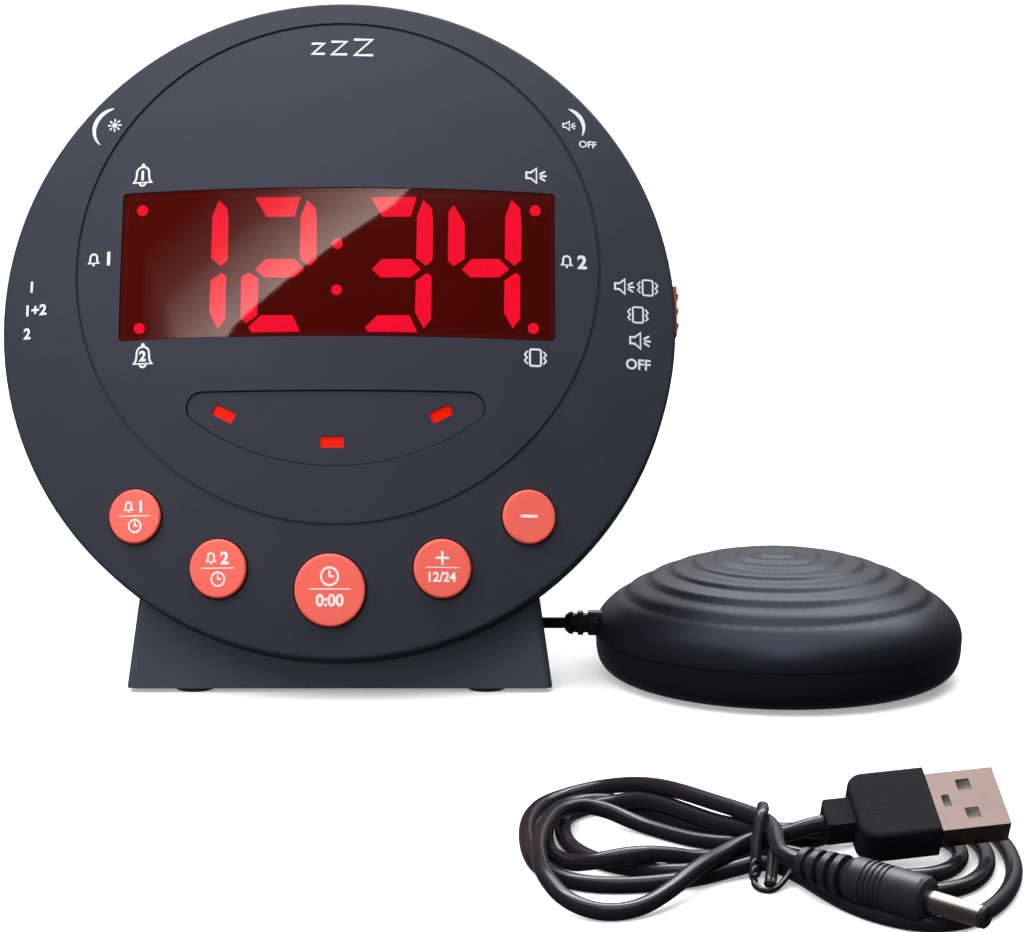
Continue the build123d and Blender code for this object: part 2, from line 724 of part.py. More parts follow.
with BuildPart() as backup_batteries:
    for by in (16.0, 26.7):
        with BuildSketch(Plane.YZ.offset(-22.0)):
            with Locations((by, 9.45)):
                Circle(5.2)
        extrude(amount=43.2)
        with BuildSketch(Plane.YZ.offset(21.2)):
            with Locations((by, 9.45)):
                Circle(1.9)
        extrude(amount=1.0)
write(backup_batteries.part, "backup_batteries")

with BuildPart() as battery_contacts:
    for side in (-1, 1):
        with BuildSketch(Plane.YZ.offset(side * 23.85 - 0.2)):
            with Locations((21.3, 9.45)):
                Rectangle(19.0, 8.0)
        extrude(amount=0.4)
    for by in (16.0, 26.7):
        with BuildSketch(Plane.YZ.offset(-23.65)):
            with Locations((by, 9.45)):
                Circle(3.2)
                Circle(2.4, mode=Mode.SUBTRACT)
        extrude(amount=1.6)
        with BuildSketch(Plane.YZ.offset(22.25)):
            with Locations((by, 9.45)):
                Circle(1.2)
        extrude(amount=1.4)
write(battery_contacts.part, "battery_contacts")

with BuildPart() as battery_door:
    with BuildSketch(Plane.XZ.offset(-34.0)):
        with Locations((0, 9.6)):
            RectangleRounded(47.8, 11.8, 1.0)
    extrude(amount=2.0)
    # grip ribs on the outside
    with BuildSketch(Plane.XZ.offset(-34.5)):
        for rz in (7.4, 9.0, 10.6):
            with Locations((0, rz)):
                SlotOverall(14, 0.7)
    extrude(amount=0.6)
write(battery_door.part, "battery_door")

# ------------------------------------------------------------- shaker puck
PUCK = Plane(origin=(PUCK_X, PUCK_Y, 0), x_dir=(1, 0, 0), z_dir=(0, -1, 0))
PUCK_AXIS = Axis((PUCK_X, PUCK_Y, 0), (0, 0, 1))


def puck_z(r, radius=PUCK_R, low=11.6, high=PUCK_H):
    """Smooth upper side of the puck."""
    q = max(0.0, 1.0 - (r / radius) ** 2.3)
    return low + (high - low) * q ** 0.8


def ripple(r):
    """Seven soft terraces, fading out at the crown and the shoulder."""
    if r > 34.8:
        return 0.0
    fade = min(1.0, (34.8 - r) / 2.0, (r + 1.0) / 2.5)
    phase = (r / 4.65) % 1.0
    wave = (phase / 0.72) if phase < 0.72 else (1 - phase) / 0.28
    wave = wave * wave * (3 - 2 * wave)
    return -0.42 * fade * (1 - wave)


top_line = [(0.0, PUCK_H - 0.3)]
step_r = 0.0
while step_r < 35.5:
    step_r += 0.7
    top_line.append((step_r, puck_z(step_r) + ripple(step_r)))
top_line += [(36.7, 14.95), (37.6, 13.85), (38.3, 12.65), (38.8, 11.3), (39.02, 10.2)]
top_end = top_line[-1]

with BuildPart() as shaker_top_shell:
    with BuildSketch(PUCK):
        with BuildLine():
            Spline(*top_line)
            Line(top_end, (39.05, PUCK_SEAM + 0.1))
            Line((39.05, PUCK_SEAM + 0.1), (36.6, PUCK_SEAM + 0.1))
            Spline((36.6, PUCK_SEAM + 0.1), (35.5, 12.4), (31.4, 16.0),
                   (24.5, 19.3), (14.0, 22.3), (0, 23.4))
            Line((0, 23.4), (0, PUCK_H - 0.3))
        make_face()
    revolve(axis=PUCK_AXIS)
    # half of the lead's entry
    with BuildSketch(Plane.YZ.offset(PUCK_X - 44)):
        with Locations((PUCK_Y, RELIEF_Z)):
            Circle(2.75)
    extrude(amount=12, mode=Mode.SUBTRACT)
write(shaker_top_shell.part, "shaker_top_shell")

LOW_X = PUCK_X + 0.2
LOW = Plane(origin=(LOW_X, PUCK_Y, 0), x_dir=(1, 0, 0), z_dir=(0, -1, 0))
LOW_AXIS = Axis((LOW_X, PUCK_Y, 0), (0, 0, 1))
with BuildPart() as shaker_bottom_shell:
    with BuildSketch(LOW):
        with BuildLine():
            Line((0, 0.5), (23.5, 0.5))
            Spline((23.5, 0.5), (31.4, 0.62), (35.6, 1.5), (37.8, 3.5), (38.7, 6.6),
                   tangents=((1, 0.0), (0.14, 1)))
            Line((38.7, 6.6), (38.85, PUCK_SEAM))
            Line((38.85, PUCK_SEAM), (36.4, PUCK_SEAM))
            Spline((36.4, PUCK_SEAM), (35.3, 6.8), (32.4, 4.6), (28.4, 3.3), (22.6, 2.7),
                   tangents=((-0.2, -1), (-1, 0)))
            Line((22.6, 2.7), (0, 2.7))
            Line((0, 2.7), (0, 0.5))
        make_face()
    revolve(axis=LOW_AXIS)
    # four posts that take the closing screws
    with BuildSketch(Plane.XY.offset(2.6)):
        with Locations((PUCK_X + 20, PUCK_Y + 20), (PUCK_X - 20, PUCK_Y + 20),
                       (PUCK_X + 20, PUCK_Y - 20), (PUCK_X - 20, PUCK_Y - 20)):
            Circle(3.0)
    extrude(amount=7.0)
    with BuildSketch(Plane.XY):
        with Locations((PUCK_X + 20, PUCK_Y + 20), (PUCK_X - 20, PUCK_Y + 20),
                       (PUCK_X + 20, PUCK_Y - 20), (PUCK_X - 20, PUCK_Y - 20)):
            Circle(1.5)
    extrude(amount=12, mode=Mode.SUBTRACT)
    # the heads sit in pockets
    with BuildSketch(Plane.XY):
        with Locations((PUCK_X + 20, PUCK_Y + 20), (PUCK_X - 20, PUCK_Y + 20),
                       (PUCK_X + 20, PUCK_Y - 20), (PUCK_X - 20, PUCK_Y - 20)):
            Circle(2.7)
    extrude(amount=2.0, mode=Mode.SUBTRACT)
    with BuildSketch(Plane.YZ.offset(PUCK_X - 44)):
        with Locations((PUCK_Y, RELIEF_Z)):
            Circle(2.75)
    extrude(amount=12, mode=Mode.SUBTRACT)
write(shaker_bottom_shell.part, "shaker_bottom_shell")

with BuildPart() as shaker_base_pad:
    with BuildSketch(Plane.XY):
        with Locations((LOW_X, PUCK_Y)):
            Circle(23.0)
        with Locations((PUCK_X + 20, PUCK_Y + 20), (PUCK_X - 20, PUCK_Y + 20),
                       (PUCK_X + 20, PUCK_Y - 20), (PUCK_X - 20, PUCK_Y - 20)):
            Circle(3.2, mode=Mode.SUBTRACT)
    extrude(amount=0.48)
write(shaker_base_pad.part, "shaker_base_pad")

with BuildPart() as shaker_screws:
    for px in (PUCK_X + 20, PUCK_X - 20):
        for py in (PUCK_Y + 20, PUCK_Y - 20):
            with BuildSketch(Plane.XY.offset(0.8)):
                with Locations((px, py)):
                    Circle(2.5)
            extrude(amount=1.15)
            with BuildSketch(Plane.XY.offset(1.9)):
                with Locations((px, py)):
                    Circle(1.4)
            extrude(amount=7.9)
write(shaker_screws.part, "shaker_screws")

MOTOR_X, MOTOR_Z, MOTOR_R = PUCK_X - 2, 11.6, 6.6
with BuildPart() as motor_bracket:
    with BuildSketch(Plane.YZ.offset(MOTOR_X - 12)):
        with Locations((PUCK_Y, 8.8)):
            Rectangle(20.0, 12.1)
        with Locations((PUCK_Y, MOTOR_Z)):
            Circle(MOTOR_R + 0.05, mode=Mode.SUBTRACT)
        with Locations((PUCK_Y, MOTOR_Z + 4.4)):
            Rectangle(2 * MOTOR_R - 1.5, 8.8, mode=Mode.SUBTRACT)
    extrude(amount=18)
write(motor_bracket.part, "motor_bracket")

with BuildPart() as shaker_motor:
    with BuildSketch(Plane.YZ.offset(MOTOR_X - 14)):
        with Locations((PUCK_Y, MOTOR_Z)):
            Circle(MOTOR_R)
    extrude(amount=22)
    with BuildSketch(Plane.YZ.offset(MOTOR_X + 8)):
        with Locations((PUCK_Y, MOTOR_Z)):
            Circle(1.0)
    extrude(amount=8.6)
write(shaker_motor.part, "shaker_motor")

with BuildPart() as eccentric_weight:
    # half-round weight on the motor's shaft
    with BuildSketch(Plane.YZ.offset(MOTOR_X + 9.2)):
        with Locations((PUCK_Y, MOTOR_Z)):
            Circle(7.2)
            with Locations((0, 6.2)):
                Rectangle(16, 8.0, mode=Mode.SUBTRACT)
            Circle(2.8)
            Circle(1.05, mode=Mode.SUBTRACT)
    extrude(amount=7.0)
write(eccentric_weight.part, "eccentric_weight")

# strain relief clamped between the two puck shells
RELIEF_END = PUCK_X - 45.2
with BuildPart() as shaker_strain_relief:
    with BuildSketch(Plane(origin=(0, PUCK_Y, RELIEF_Z), x_dir=(1, 0, 0),
                           z_dir=(0, -1, 0))):
        Polygon((PUCK_X - 35.0, 0), (PUCK_X - 35.0, 2.7), (PUCK_X - 40.2, 2.7),
                (PUCK_X - 40.4, 2.1), (PUCK_X - 41.2, 2.1), (PUCK_X - 41.4, 2.65),
                (PUCK_X - 42.4, 2.6), (PUCK_X - 42.6, 2.1), (PUCK_X - 43.4, 2.05),
                (PUCK_X - 43.6, 2.5), (PUCK_X - 44.4, 2.3), (RELIEF_END, 1.55),
                (RELIEF_END, 0), align=None)
    revolve(axis=Axis((0, PUCK_Y, RELIEF_Z), (1, 0, 0)))
write(shaker_strain_relief.part, "shaker_strain_relief")


# ------------------------------------------------------------------- leads
def arc_radii(points):
    """Largest tangent arcs: 0.45 of the shorter run over tan of half the turn."""
    out = []
    for a, b, c in zip(points, points[1:], points[2:]):
        u, v = Vector(*b) - Vector(*a), Vector(*c) - Vector(*b)
        turn = math.radians(u.get_angle(v))
        out.append(0.45 * min(u.length, v.length) / math.tan(turn / 2))
    return out


def lead(points, diameter, label):
    radii = arc_radii(points)
    print(label, "radii", [round(r, 1) for r in radii])
    start = Vector(*points[1]) - Vector(*points[0])
    with BuildPart() as tube:
        with BuildLine() as path:
            FilletPolyline(*points, radius=radii)
        with BuildSketch(Plane(origin=points[0], z_dir=start)):
            Circle(diameter / 2)
        sweep(path=path.wires()[0])
    length = path.wires()[0].length
    print(label, "length", round(length, 1), "volume/section*length",
          round(tube.part.volume / (math.pi * diameter ** 2 / 4 * length), 4))
    return tube.part


# from the puck, along the side of the stand, to the coil behind it
NEAR = [(RELIEF_END, PUCK_Y, RELIEF_Z), (42.4, -14.0, 11.5), (37.5, -11.7, 11.0),
        (34.0, -6.9, 10.1), (33.4, 0.5, 8.5), (33.9, 9.5, 6.0), (33.6, 20.0, 3.5),
        (31.6, 32.0, 1.8), (28.4, 45.0, 1.4), (24.2, 58.0, 1.3), (20.0, 70.0, 1.3),
        (17.2, 80.0, 1.3)]
shaker_lead_near = lead(NEAR, LEAD_D, "shaker_lead_near")
write(shaker_lead_near, "shaker_lead_near")

# from the coil up to the plug in the shaker socket
PLUG_TAIL = at(SHAKER_X, JACK_V, PLUG_END)
FAR = [PLUG_TAIL,
       at(SHAKER_X, JACK_V, PLUG_END - 8.2),
       (-27.7, PLUG_TAIL[1] + 15.6, PLUG_TAIL[2] - 8.6),
       (-27.0, PLUG_TAIL[1] + 22.4, PLUG_TAIL[2] - 16.4),
       (-25.6, PLUG_TAIL[1] + 29.0, PLUG_TAIL[2] - 23.4),
       (-23.0, PLUG_TAIL[1] + 37.6, PLUG_TAIL[2] - 27.0),
       (-19.2, PLUG_TAIL[1] + 46.0, PLUG_TAIL[2] - 28.2)]
shaker_lead_far = lead(FAR, LEAD_D, "shaker_lead_far")
write(shaker_lead_far, "shaker_lead_far")

with BuildPart() as shaker_lead_coil:
    with BuildSketch(Plane.XY):
        with Locations((COIL_X, COIL_Y)):
            Circle(COIL_MID_R + 6.0)
            Circle(COIL_MID_R - 6.0, mode=Mode.SUBTRACT)
    extrude(amount=10.0)
    fillet(shaker_lead_coil.edges().filter_by(GeomType.CIRCLE), 2.4)
write(shaker_lead_coil.part, "shaker_lead_coil")

with BuildPart() as shaker_lead_tie:
    with BuildSketch(Plane.YZ.offset(COIL_X - 1.6)):
        with Locations((COIL_Y - COIL_MID_R, 5.4)):
            RectangleRounded(13.4, 10.8, 2.6)
            RectangleRounded(11.8, 9.4, 2.0, mode=Mode.SUBTRACT)
    extrude(amount=3.2)
write(shaker_lead_tie.part, "shaker_lead_tie")

# ------------------------------------------------------- power lead, in front
# USB plug, leaning on the strands inside the right-hand loop
USB_YAW, USB_PITCH, USB_ROLL = 8.0, 4.0, 35.0
USB_AT = (97.6, -147.3, 8.1)
ya, pa, ra = map(math.radians, (USB_YAW, USB_PITCH, USB_ROLL))
usb_along = Vector(math.cos(ya) * math.cos(pa), math.sin(ya) * math.cos(pa), math.sin(pa))
usb_up = Vector(0, -math.sin(ra), math.cos(ra))
usb_up = (usb_up - usb_along * usb_up.dot(usb_along)).normalized()
USB = Plane(origin=USB_AT, x_dir=usb_along, z_dir=usb_up)

with BuildPart() as usb_plug_body:
    with BuildSketch(USB.offset(-3.6)) as mould:
        with Locations((0.75, 0)):
            Rectangle(13.5, 13.6)
        fillet(mould.vertices().filter_by(lambda q: q.X < 0), 3.0)
    extrude(amount=7.2)
    fillet(usb_plug_body.faces().sort_by(Axis(USB_AT, usb_up))[-1].edges(), 0.7)
    fillet(usb_plug_body.faces().sort_by(Axis(USB_AT, usb_up))[0].edges(), 0.7)
    with BuildSketch(USB.offset(-2.6)):
        with Locations((-8.0, 0)):
            RectangleRounded(5.4, 5.4, 0.6)
    extrude(amount=5.2)
write(usb_plug_body.part, "usb_plug_body")

with BuildPart() as usb_plug_shell:
    with BuildSketch(USB.offset(-2.25)):
        with Locations((13.4, 0)):
            Rectangle(11.8, 12.0)
    extrude(amount=4.5)
    with BuildSketch(USB.offset(-1.95)):
        with Locations((13.7, 0)):
            Rectangle(11.8, 11.4)
    extrude(amount=3.9, mode=Mode.SUBTRACT)
    # latch windows on both flat sides
    with BuildSketch(USB.offset(-5)):
        with Locations((13.6, 3.0), (13.6, -3.0)):
            Rectangle(2.3, 2.3)
        with Locations((9.9, 0)):
            RectangleRounded(1.3, 2.6, 0.4)
    extrude(amount=10, mode=Mode.SUBTRACT)
write(usb_plug_shell.part, "usb_plug_shell")

with BuildPart() as usb_plug_tongue:
    with BuildSketch(USB.offset(-1.9)):
        with Locations((13.2, 0)):
            Rectangle(10.6, 11.2)
    extrude(amount=1.85)
write(usb_plug_tongue.part, "usb_plug_tongue")

# barrel plug of the power lead
DC_FROM, DC_TO = Vector(81.3, -167.5, 6.6), Vector(107.2, -188.6, 4.3)
dc_dir = (DC_TO - DC_FROM).normalized()
DC_LEN = (DC_TO - DC_FROM).length
dc_side = Vector(0, 0, 1).cross(dc_dir).normalized()
DCP = Plane(origin=DC_FROM, x_dir=dc_dir, z_dir=dc_side)
DCP_AXIS = Axis(DC_FROM, dc_dir)
RELIEF_L, BODY_L = 9.2, 14.4
with BuildPart() as dc_plug_body:
    ribs = [(0, 0), (0, 2.0)]
    for i in range(4):
        x0 = 0.3 + i * 2.2
        ribs += [(x0 + 0.2, 2.5 + 0.2 * i), (x0 + 1.3, 2.6 + 0.2 * i),
                 (x0 + 1.45, 1.9), (x0 + 2.1, 1.9)]
    ribs += [(RELIEF_L, 2.9), (RELIEF_L + 1.2, 3.5)]
    for i in range(5):
        x0 = RELIEF_L + 3.4 + i * 0.9
        ribs += [(x0, 3.6), (x0 + 0.15, 3.35), (x0 + 0.4, 3.35), (x0 + 0.55, 3.6)]
    ribs += [(RELIEF_L + BODY_L - 1.3, 3.7), (RELIEF_L + BODY_L - 0.6, 3.4),
             (RELIEF_L + BODY_L, 2.6), (RELIEF_L + BODY_L, 0)]
    with BuildSketch(DCP):
        Polygon(*ribs, align=None)
    revolve(axis=DCP_AXIS)
write(dc_plug_body.part, "dc_plug_body")

with BuildPart() as dc_plug_barrel:
    b0, b1 = RELIEF_L + BODY_L, DC_LEN
    with BuildSketch(DCP):
        Polygon((b0, 0), (b0, 1.75), (b1 - 1.0, 1.75), (b1 - 1.0, 0.75),
                (b0 + 1.0, 0.75), (b0 + 1.0, 0), align=None)
    revolve(axis=DCP_AXIS)
write(dc_plug_barrel.part, "dc_plug_barrel")

with BuildPart() as dc_plug_tip:
    with BuildSketch(DCP):
        Polygon((b1 - 1.0, 0.75), (b1 - 1.0, 1.7), (b1 - 0.3, 1.7), (b1, 1.4),
                (b1, 0.75), align=None)
    revolve(axis=DCP_AXIS)
write(dc_plug_tip.part, "dc_plug_tip")

# one tied hank: two loops, pinched at the tie
HANK = [(36.7, -142.0), (37.2, -125.2), (39.9, -116.2), (45.2, -110.0), (52.2, -109.0),
        (58.6, -114.4), (66.8, -127.8), (73.6, -136.2), (78.6, -137.8), (83.2, -135.8),
        (87.2, -130.6), (91.4, -125.2), (97.4, -119.8), (104.4, -117.6), (111.8, -120.0),
        (117.2, -127.0), (119.6, -136.6), (120.0, -147.2), (118.9, -157.8),
        (115.8, -168.2), (111.4, -177.0), (105.4, -183.3), (98.0, -184.4), (91.4, -180.4),
        (86.4, -173.4), (83.2, -165.8), (80.2, -159.4), (75.8, -157.2), (71.2, -160.4),
        (66.8, -166.4), (61.8, -172.4), (56.2, -177.6), (49.4, -179.3), (42.9, -175.6),
        (39.6, -168.0), (38.4, -159.0), (37.2, -151.8)]
HANK_H = 9.2
with BuildPart() as plug_room:
    with BuildSketch(USB.offset(-3.9)):
        with Locations((0.75, 0)):
            Rectangle(14.3, 14.4)
        with Locations((-8.475, 0)):
            Rectangle(4.95, 6.0)
        with Locations((14.5, 0)):
            Rectangle(15.0, 12.8)
    extrude(amount=30)
    with BuildSketch(DCP):
        with Locations(((RELIEF_L + BODY_L) / 2, -6.0)):
            Rectangle(RELIEF_L + BODY_L + 0.8, 20.0)
    extrude(amount=4.0, both=True)
    with BuildSketch(DCP):
        with Locations((DC_LEN - 4.6, -7.9)):
            Rectangle(11.2, 20.0)
    extrude(amount=2.1, both=True)
with BuildPart() as usb_lead_hank:
    with BuildSketch(Plane.XY):
        with BuildLine():
            Spline(*HANK, periodic=True)
        make_face()
    extrude(amount=HANK_H)
    add(plug_room.part, mode=Mode.SUBTRACT)
write(usb_lead_hank.part, "usb_lead_hank")

TIE_X = 77.2
with BuildPart() as hank_tie:
    with BuildSketch(Plane.YZ.offset(TIE_X - 0.8)):
        with Locations((-147.0, 5.3)):
            RectangleRounded(18.8, 10.6, 4.4)
            RectangleRounded(16.6, 8.4, 3.3, mode=Mode.SUBTRACT)
    extrude(amount=1.6)
    for tip in ((74.6, -163.4, 0.85), (82.6, -164.4, 0.85)):
        root = Vector(TIE_X, -155.6, 2.4)
        way = Vector(*tip) - root
        with BuildSketch(Plane(origin=root, z_dir=way)):
            Circle(0.75)
        extrude(amount=way.length)
write(hank_tie.part, "hank_tie")
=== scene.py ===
import math
import random

import bmesh
import bpy
from mathutils import Matrix, Vector


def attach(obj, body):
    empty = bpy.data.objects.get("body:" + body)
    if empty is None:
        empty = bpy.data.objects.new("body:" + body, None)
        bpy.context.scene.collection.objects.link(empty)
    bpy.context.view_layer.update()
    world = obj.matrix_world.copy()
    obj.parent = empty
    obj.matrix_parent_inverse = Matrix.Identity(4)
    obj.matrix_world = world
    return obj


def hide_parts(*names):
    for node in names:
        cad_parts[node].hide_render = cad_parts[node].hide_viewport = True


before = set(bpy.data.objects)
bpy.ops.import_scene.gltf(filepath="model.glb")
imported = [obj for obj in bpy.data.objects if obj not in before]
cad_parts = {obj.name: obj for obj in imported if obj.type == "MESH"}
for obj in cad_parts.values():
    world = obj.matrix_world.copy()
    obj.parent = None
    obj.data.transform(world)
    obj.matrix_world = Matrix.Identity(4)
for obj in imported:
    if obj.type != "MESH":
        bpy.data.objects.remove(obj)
for name in ("Cube", "Light", "Camera"):
    left = bpy.data.objects.get(name)
    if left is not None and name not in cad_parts:
        bpy.data.objects.remove(left)
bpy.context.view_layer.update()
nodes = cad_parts
scene = bpy.context.scene
MM = 0.001
rng = random.Random(7)


# ------------------------------------------------------------------- camera
cam_data = bpy.data.cameras.new("camera")
cam = bpy.data.objects.new("camera", cam_data)
scene.collection.objects.link(cam)
cam.location = (0.0359, -0.578, 0.13466)
cam.rotation_euler = (math.radians(81), 0, 0)
cam_data.lens = 94.99
cam_data.sensor_width = 36
cam_data.clip_start = 0.01
cam_data.clip_end = 50
scene.camera = cam
scene.view_settings.view_transform = "Standard"


# ---------------------------------------------------------------- materials
def nodes_of(name):
    m = bpy.data.materials.new(name)
    m.use_nodes = True
    return m, m.node_tree, m.node_tree.nodes["Principled BSDF"]


def noise(nt, source, scale, detail=2.0, rough=0.5, stretch=None):
    if stretch is not None:
        mapping = nt.nodes.new("ShaderNodeMapping")
        mapping.inputs["Scale"].default_value = stretch
        nt.links.new(source, mapping.inputs["Vector"])
        source = mapping.outputs["Vector"]
    n = nt.nodes.new("ShaderNodeTexNoise")
    n.inputs["Scale"].default_value = scale
    n.inputs["Detail"].default_value = detail
    n.inputs["Roughness"].default_value = rough
    nt.links.new(source, n.inputs["Vector"])
    return n.outputs["Fac"]


def ramp(nt, fac, low, high, a=0.3, b=0.7):
    r = nt.nodes.new("ShaderNodeValToRGB")
    r.color_ramp.elements[0].position = a
    r.color_ramp.elements[1].position = b
    r.color_ramp.elements[0].color = (*low, 1)
    r.color_ramp.elements[1].color = (*high, 1)
    nt.links.new(fac, r.inputs["Fac"])
    return r.outputs["Color"]


def spread(nt, fac, low, high):
    m = nt.nodes.new("ShaderNodeMapRange")
    m.inputs["From Min"].default_value = 0.3
    m.inputs["From Max"].default_value = 0.7
    m.inputs["To Min"].default_value = low
    m.inputs["To Max"].default_value = high
    nt.links.new(fac, m.inputs["Value"])
    return m.outputs["Result"]


def plastic(name, color, rough, vary=0.05, tint=0.06, grain=0.35, depth=0.012,
            specular=0.5, patch=14.0, coat=0.0, sheen=0.0, metal=0.0,
            stretch=None, alpha=None, glow=None, power=0.0, tone=None):
    """Moulded plastic, rubber or metal: fine spark-eroded grain (size in mm) as
    bump, a slow drift of tone, and gloss that changes a little over the piece."""
    m, nt, b = nodes_of(name)
    at = nt.nodes.new("ShaderNodeTexCoord").outputs["Object"]
    slow = noise(nt, at, 1 / (patch * MM), 3.0, 0.6)
    fine = noise(nt, at, 1 / (grain * MM), 2.5, 0.6, stretch)
    nt.links.new(ramp(nt, slow, [c * (1 - tint) for c in color],
                      [c * (1 + tint) for c in color]), b.inputs["Base Color"])
    add = nt.nodes.new("ShaderNodeMath")
    add.operation = "MULTIPLY_ADD"
    add.inputs[1].default_value = 0.6
    nt.links.new(fine, add.inputs[0])
    share = nt.nodes.new("ShaderNodeMath")
    share.operation = "MULTIPLY"
    share.inputs[1].default_value = 0.4
    nt.links.new(slow, share.inputs[0])
    nt.links.new(share.outputs[0], add.inputs[2])
    nt.links.new(spread(nt, add.outputs[0], rough - vary, rough + vary),
                 b.inputs["Roughness"])
    bump = nt.nodes.new("ShaderNodeBump")
    bump.inputs["Strength"].default_value = 1.0
    bump.inputs["Distance"].default_value = depth * MM
    nt.links.new(fine, bump.inputs["Height"])
    nt.links.new(bump.outputs["Normal"], b.inputs["Normal"])
    b.inputs["Specular IOR Level"].default_value = specular
    b.inputs["Metallic"].default_value = metal
    if tone is not None:
        b.inputs["Specular Tint"].default_value = (*tone, 1)
    if coat:
        b.inputs["Coat Weight"].default_value = coat
        b.inputs["Coat Roughness"].default_value = 0.12
    if sheen:
        b.inputs["Sheen Weight"].default_value = sheen
        b.inputs["Sheen Roughness"].default_value = 0.5
    if alpha is not None:
        b.inputs["Alpha"].default_value = alpha
    if glow is not None:
        b.inputs["Emission Color"].default_value = (*glow, 1)
        b.inputs["Emission Strength"].default_value = power
    return m


COOL = (0.80, 0.83, 1.0)
FACE_GREY = (0.030, 0.031, 0.0425)
case = plastic("case_satin", FACE_GREY, 0.52, grain=0.30, depth=0.010, tint=0.05,
               specular=0.38, tone=COOL)
case_back = plastic("case_back_satin", (0.027, 0.027, 0.034), 0.54, grain=0.32,
                    depth=0.014, tint=0.06, specular=0.38, tone=COOL)
stand_mat = plastic("stand_satin", (0.052, 0.053, 0.070), 0.52, grain=0.35, depth=0.014,
                    specular=0.4, tone=COOL)
wheel_mat = plastic("wheel_satin", (0.022, 0.022, 0.027), 0.48, grain=0.30, depth=0.010)
lens_mat = plastic("lens_red", (0.075, 0.0018, 0.0004), 0.030, vary=0.006, tint=0.05,
                   grain=8.0, depth=0.0003, patch=30.0, alpha=0.55)
segment_mat = plastic("segment_lit", (0.8, 0.005, 0.015), 0.4, grain=0.5, depth=0.004,
                      glow=(1.0, 0.0018, 0.032), power=3.9)
light_mat = plastic("light_window_lit", (0.50, 0.006, 0.001), 0.30, grain=0.5,
                    depth=0.004, glow=(1.0, 0.010, 0.0), power=0.34, specular=0.15)
module_mat = plastic("module_black", (0.010, 0.0045, 0.004), 0.9, vary=0.02, grain=1.5,
                     depth=0.002, specular=0.1, patch=30.0)
led_mat = plastic("led_epoxy", (0.75, 0.05, 0.04), 0.18, grain=0.6, depth=0.003)
coral = plastic("button_coral", (0.86, 0.138, 0.103), 0.42, grain=0.30, depth=0.008,
                tint=0.02)
board_mat = plastic("board_green", (0.012, 0.12, 0.045), 0.35, grain=0.8, depth=0.02,
                    tint=0.12, coat=0.3)
part_mat = plastic("board_part_black", (0.02, 0.02, 0.021), 0.45, grain=0.2, depth=0.01)
steel = plastic("steel_brushed", (0.52, 0.52, 0.53), 0.30, grain=0.30, depth=0.006,
                metal=1.0, stretch=(1, 1, 0.08))
screw_mat = plastic("steel_screw", (0.50, 0.50, 0.49), 0.28, grain=0.20, depth=0.008,
                    metal=1.0)
motor_mat = plastic("steel_motor", (0.62, 0.62, 0.61), 0.24, grain=0.25, depth=0.005,
                    metal=1.0, stretch=(0.1, 1, 1))
brass = plastic("brass_weight", (0.66, 0.46, 0.19), 0.30, grain=0.30, depth=0.006,
                metal=1.0)
bracket_mat = plastic("bracket_white", (0.58, 0.58, 0.55), 0.48, grain=0.35, depth=0.012)
contact_mat = plastic("contact_plated", (0.75, 0.74, 0.72), 0.2, grain=0.25,
                      depth=0.004, metal=1.0)
cell_mat = plastic("cell_wrap", (0.10, 0.24, 0.42), 0.3, grain=1.2, depth=0.01, coat=0.4)
cone_mat = plastic("cone_paper", (0.045, 0.043, 0.04), 0.85, grain=0.5, depth=0.05,
                   tint=0.2)
rubber = plastic("foot_rubber", (0.02, 0.02, 0.02), 0.75, grain=0.4, depth=0.03)
puck_mat = plastic("puck_satin", (0.0058, 0.0058, 0.0076), 0.38, vary=0.04, grain=0.32,
                   depth=0.010, tone=(0.74, 0.75, 1.0))
pad_mat = plastic("puck_pad", (0.03, 0.03, 0.032), 0.9, grain=0.6, depth=0.08)
lead_mat = plastic("shaker_lead_jacket", (0.0085, 0.0085, 0.009), 0.24, vary=0.04,
                   grain=0.6, depth=0.003, patch=8.0)
cable_mat = plastic("power_lead_jacket", (0.0080, 0.0080, 0.0092), 0.22, vary=0.04,
                    grain=0.7, depth=0.0025, patch=9.0)
mould_mat = plastic("plug_mould", (0.0085, 0.0085, 0.0103), 0.60, vary=0.06, grain=0.42,
                    depth=0.035, patch=4.0, tint=0.22, specular=0.16)
dc_mould = plastic("dc_plug_mould", (0.012, 0.012, 0.0138), 0.36, vary=0.05, grain=0.35,
                   depth=0.016)
tie_mat = plastic("wire_tie_skin", (0.010, 0.010, 0.011), 0.24, vary=0.05, grain=0.5,
                  depth=0.005)
usb_steel = plastic("usb_shell_plated", (0.36, 0.270, 0.245), 0.44, vary=0.04,
                    grain=0.35, depth=0.006, metal=1.0, stretch=(0.15, 1, 1))
barrel_mat = plastic("barrel_plated", (0.78, 0.72, 0.69), 0.30, vary=0.03, grain=0.3,
                     depth=0.003, metal=1.0)
tongue_mat = plastic("usb_insulator", (0.62, 0.58, 0.52), 0.5, grain=0.3, depth=0.01)
tip_mat = plastic("plug_tip", (0.012, 0.012, 0.012), 0.3, grain=0.3, depth=0.006)
print_mat = plastic("marks_white", (0.64, 0.64, 0.69), 0.55, grain=0.20, depth=0.006,
                    tint=0.05, patch=2.0)
mark_mat = plastic("marks_on_buttons", (0.88, 0.80, 0.79), 0.55, grain=0.20,
                   depth=0.006, tint=0.03, patch=2.0)

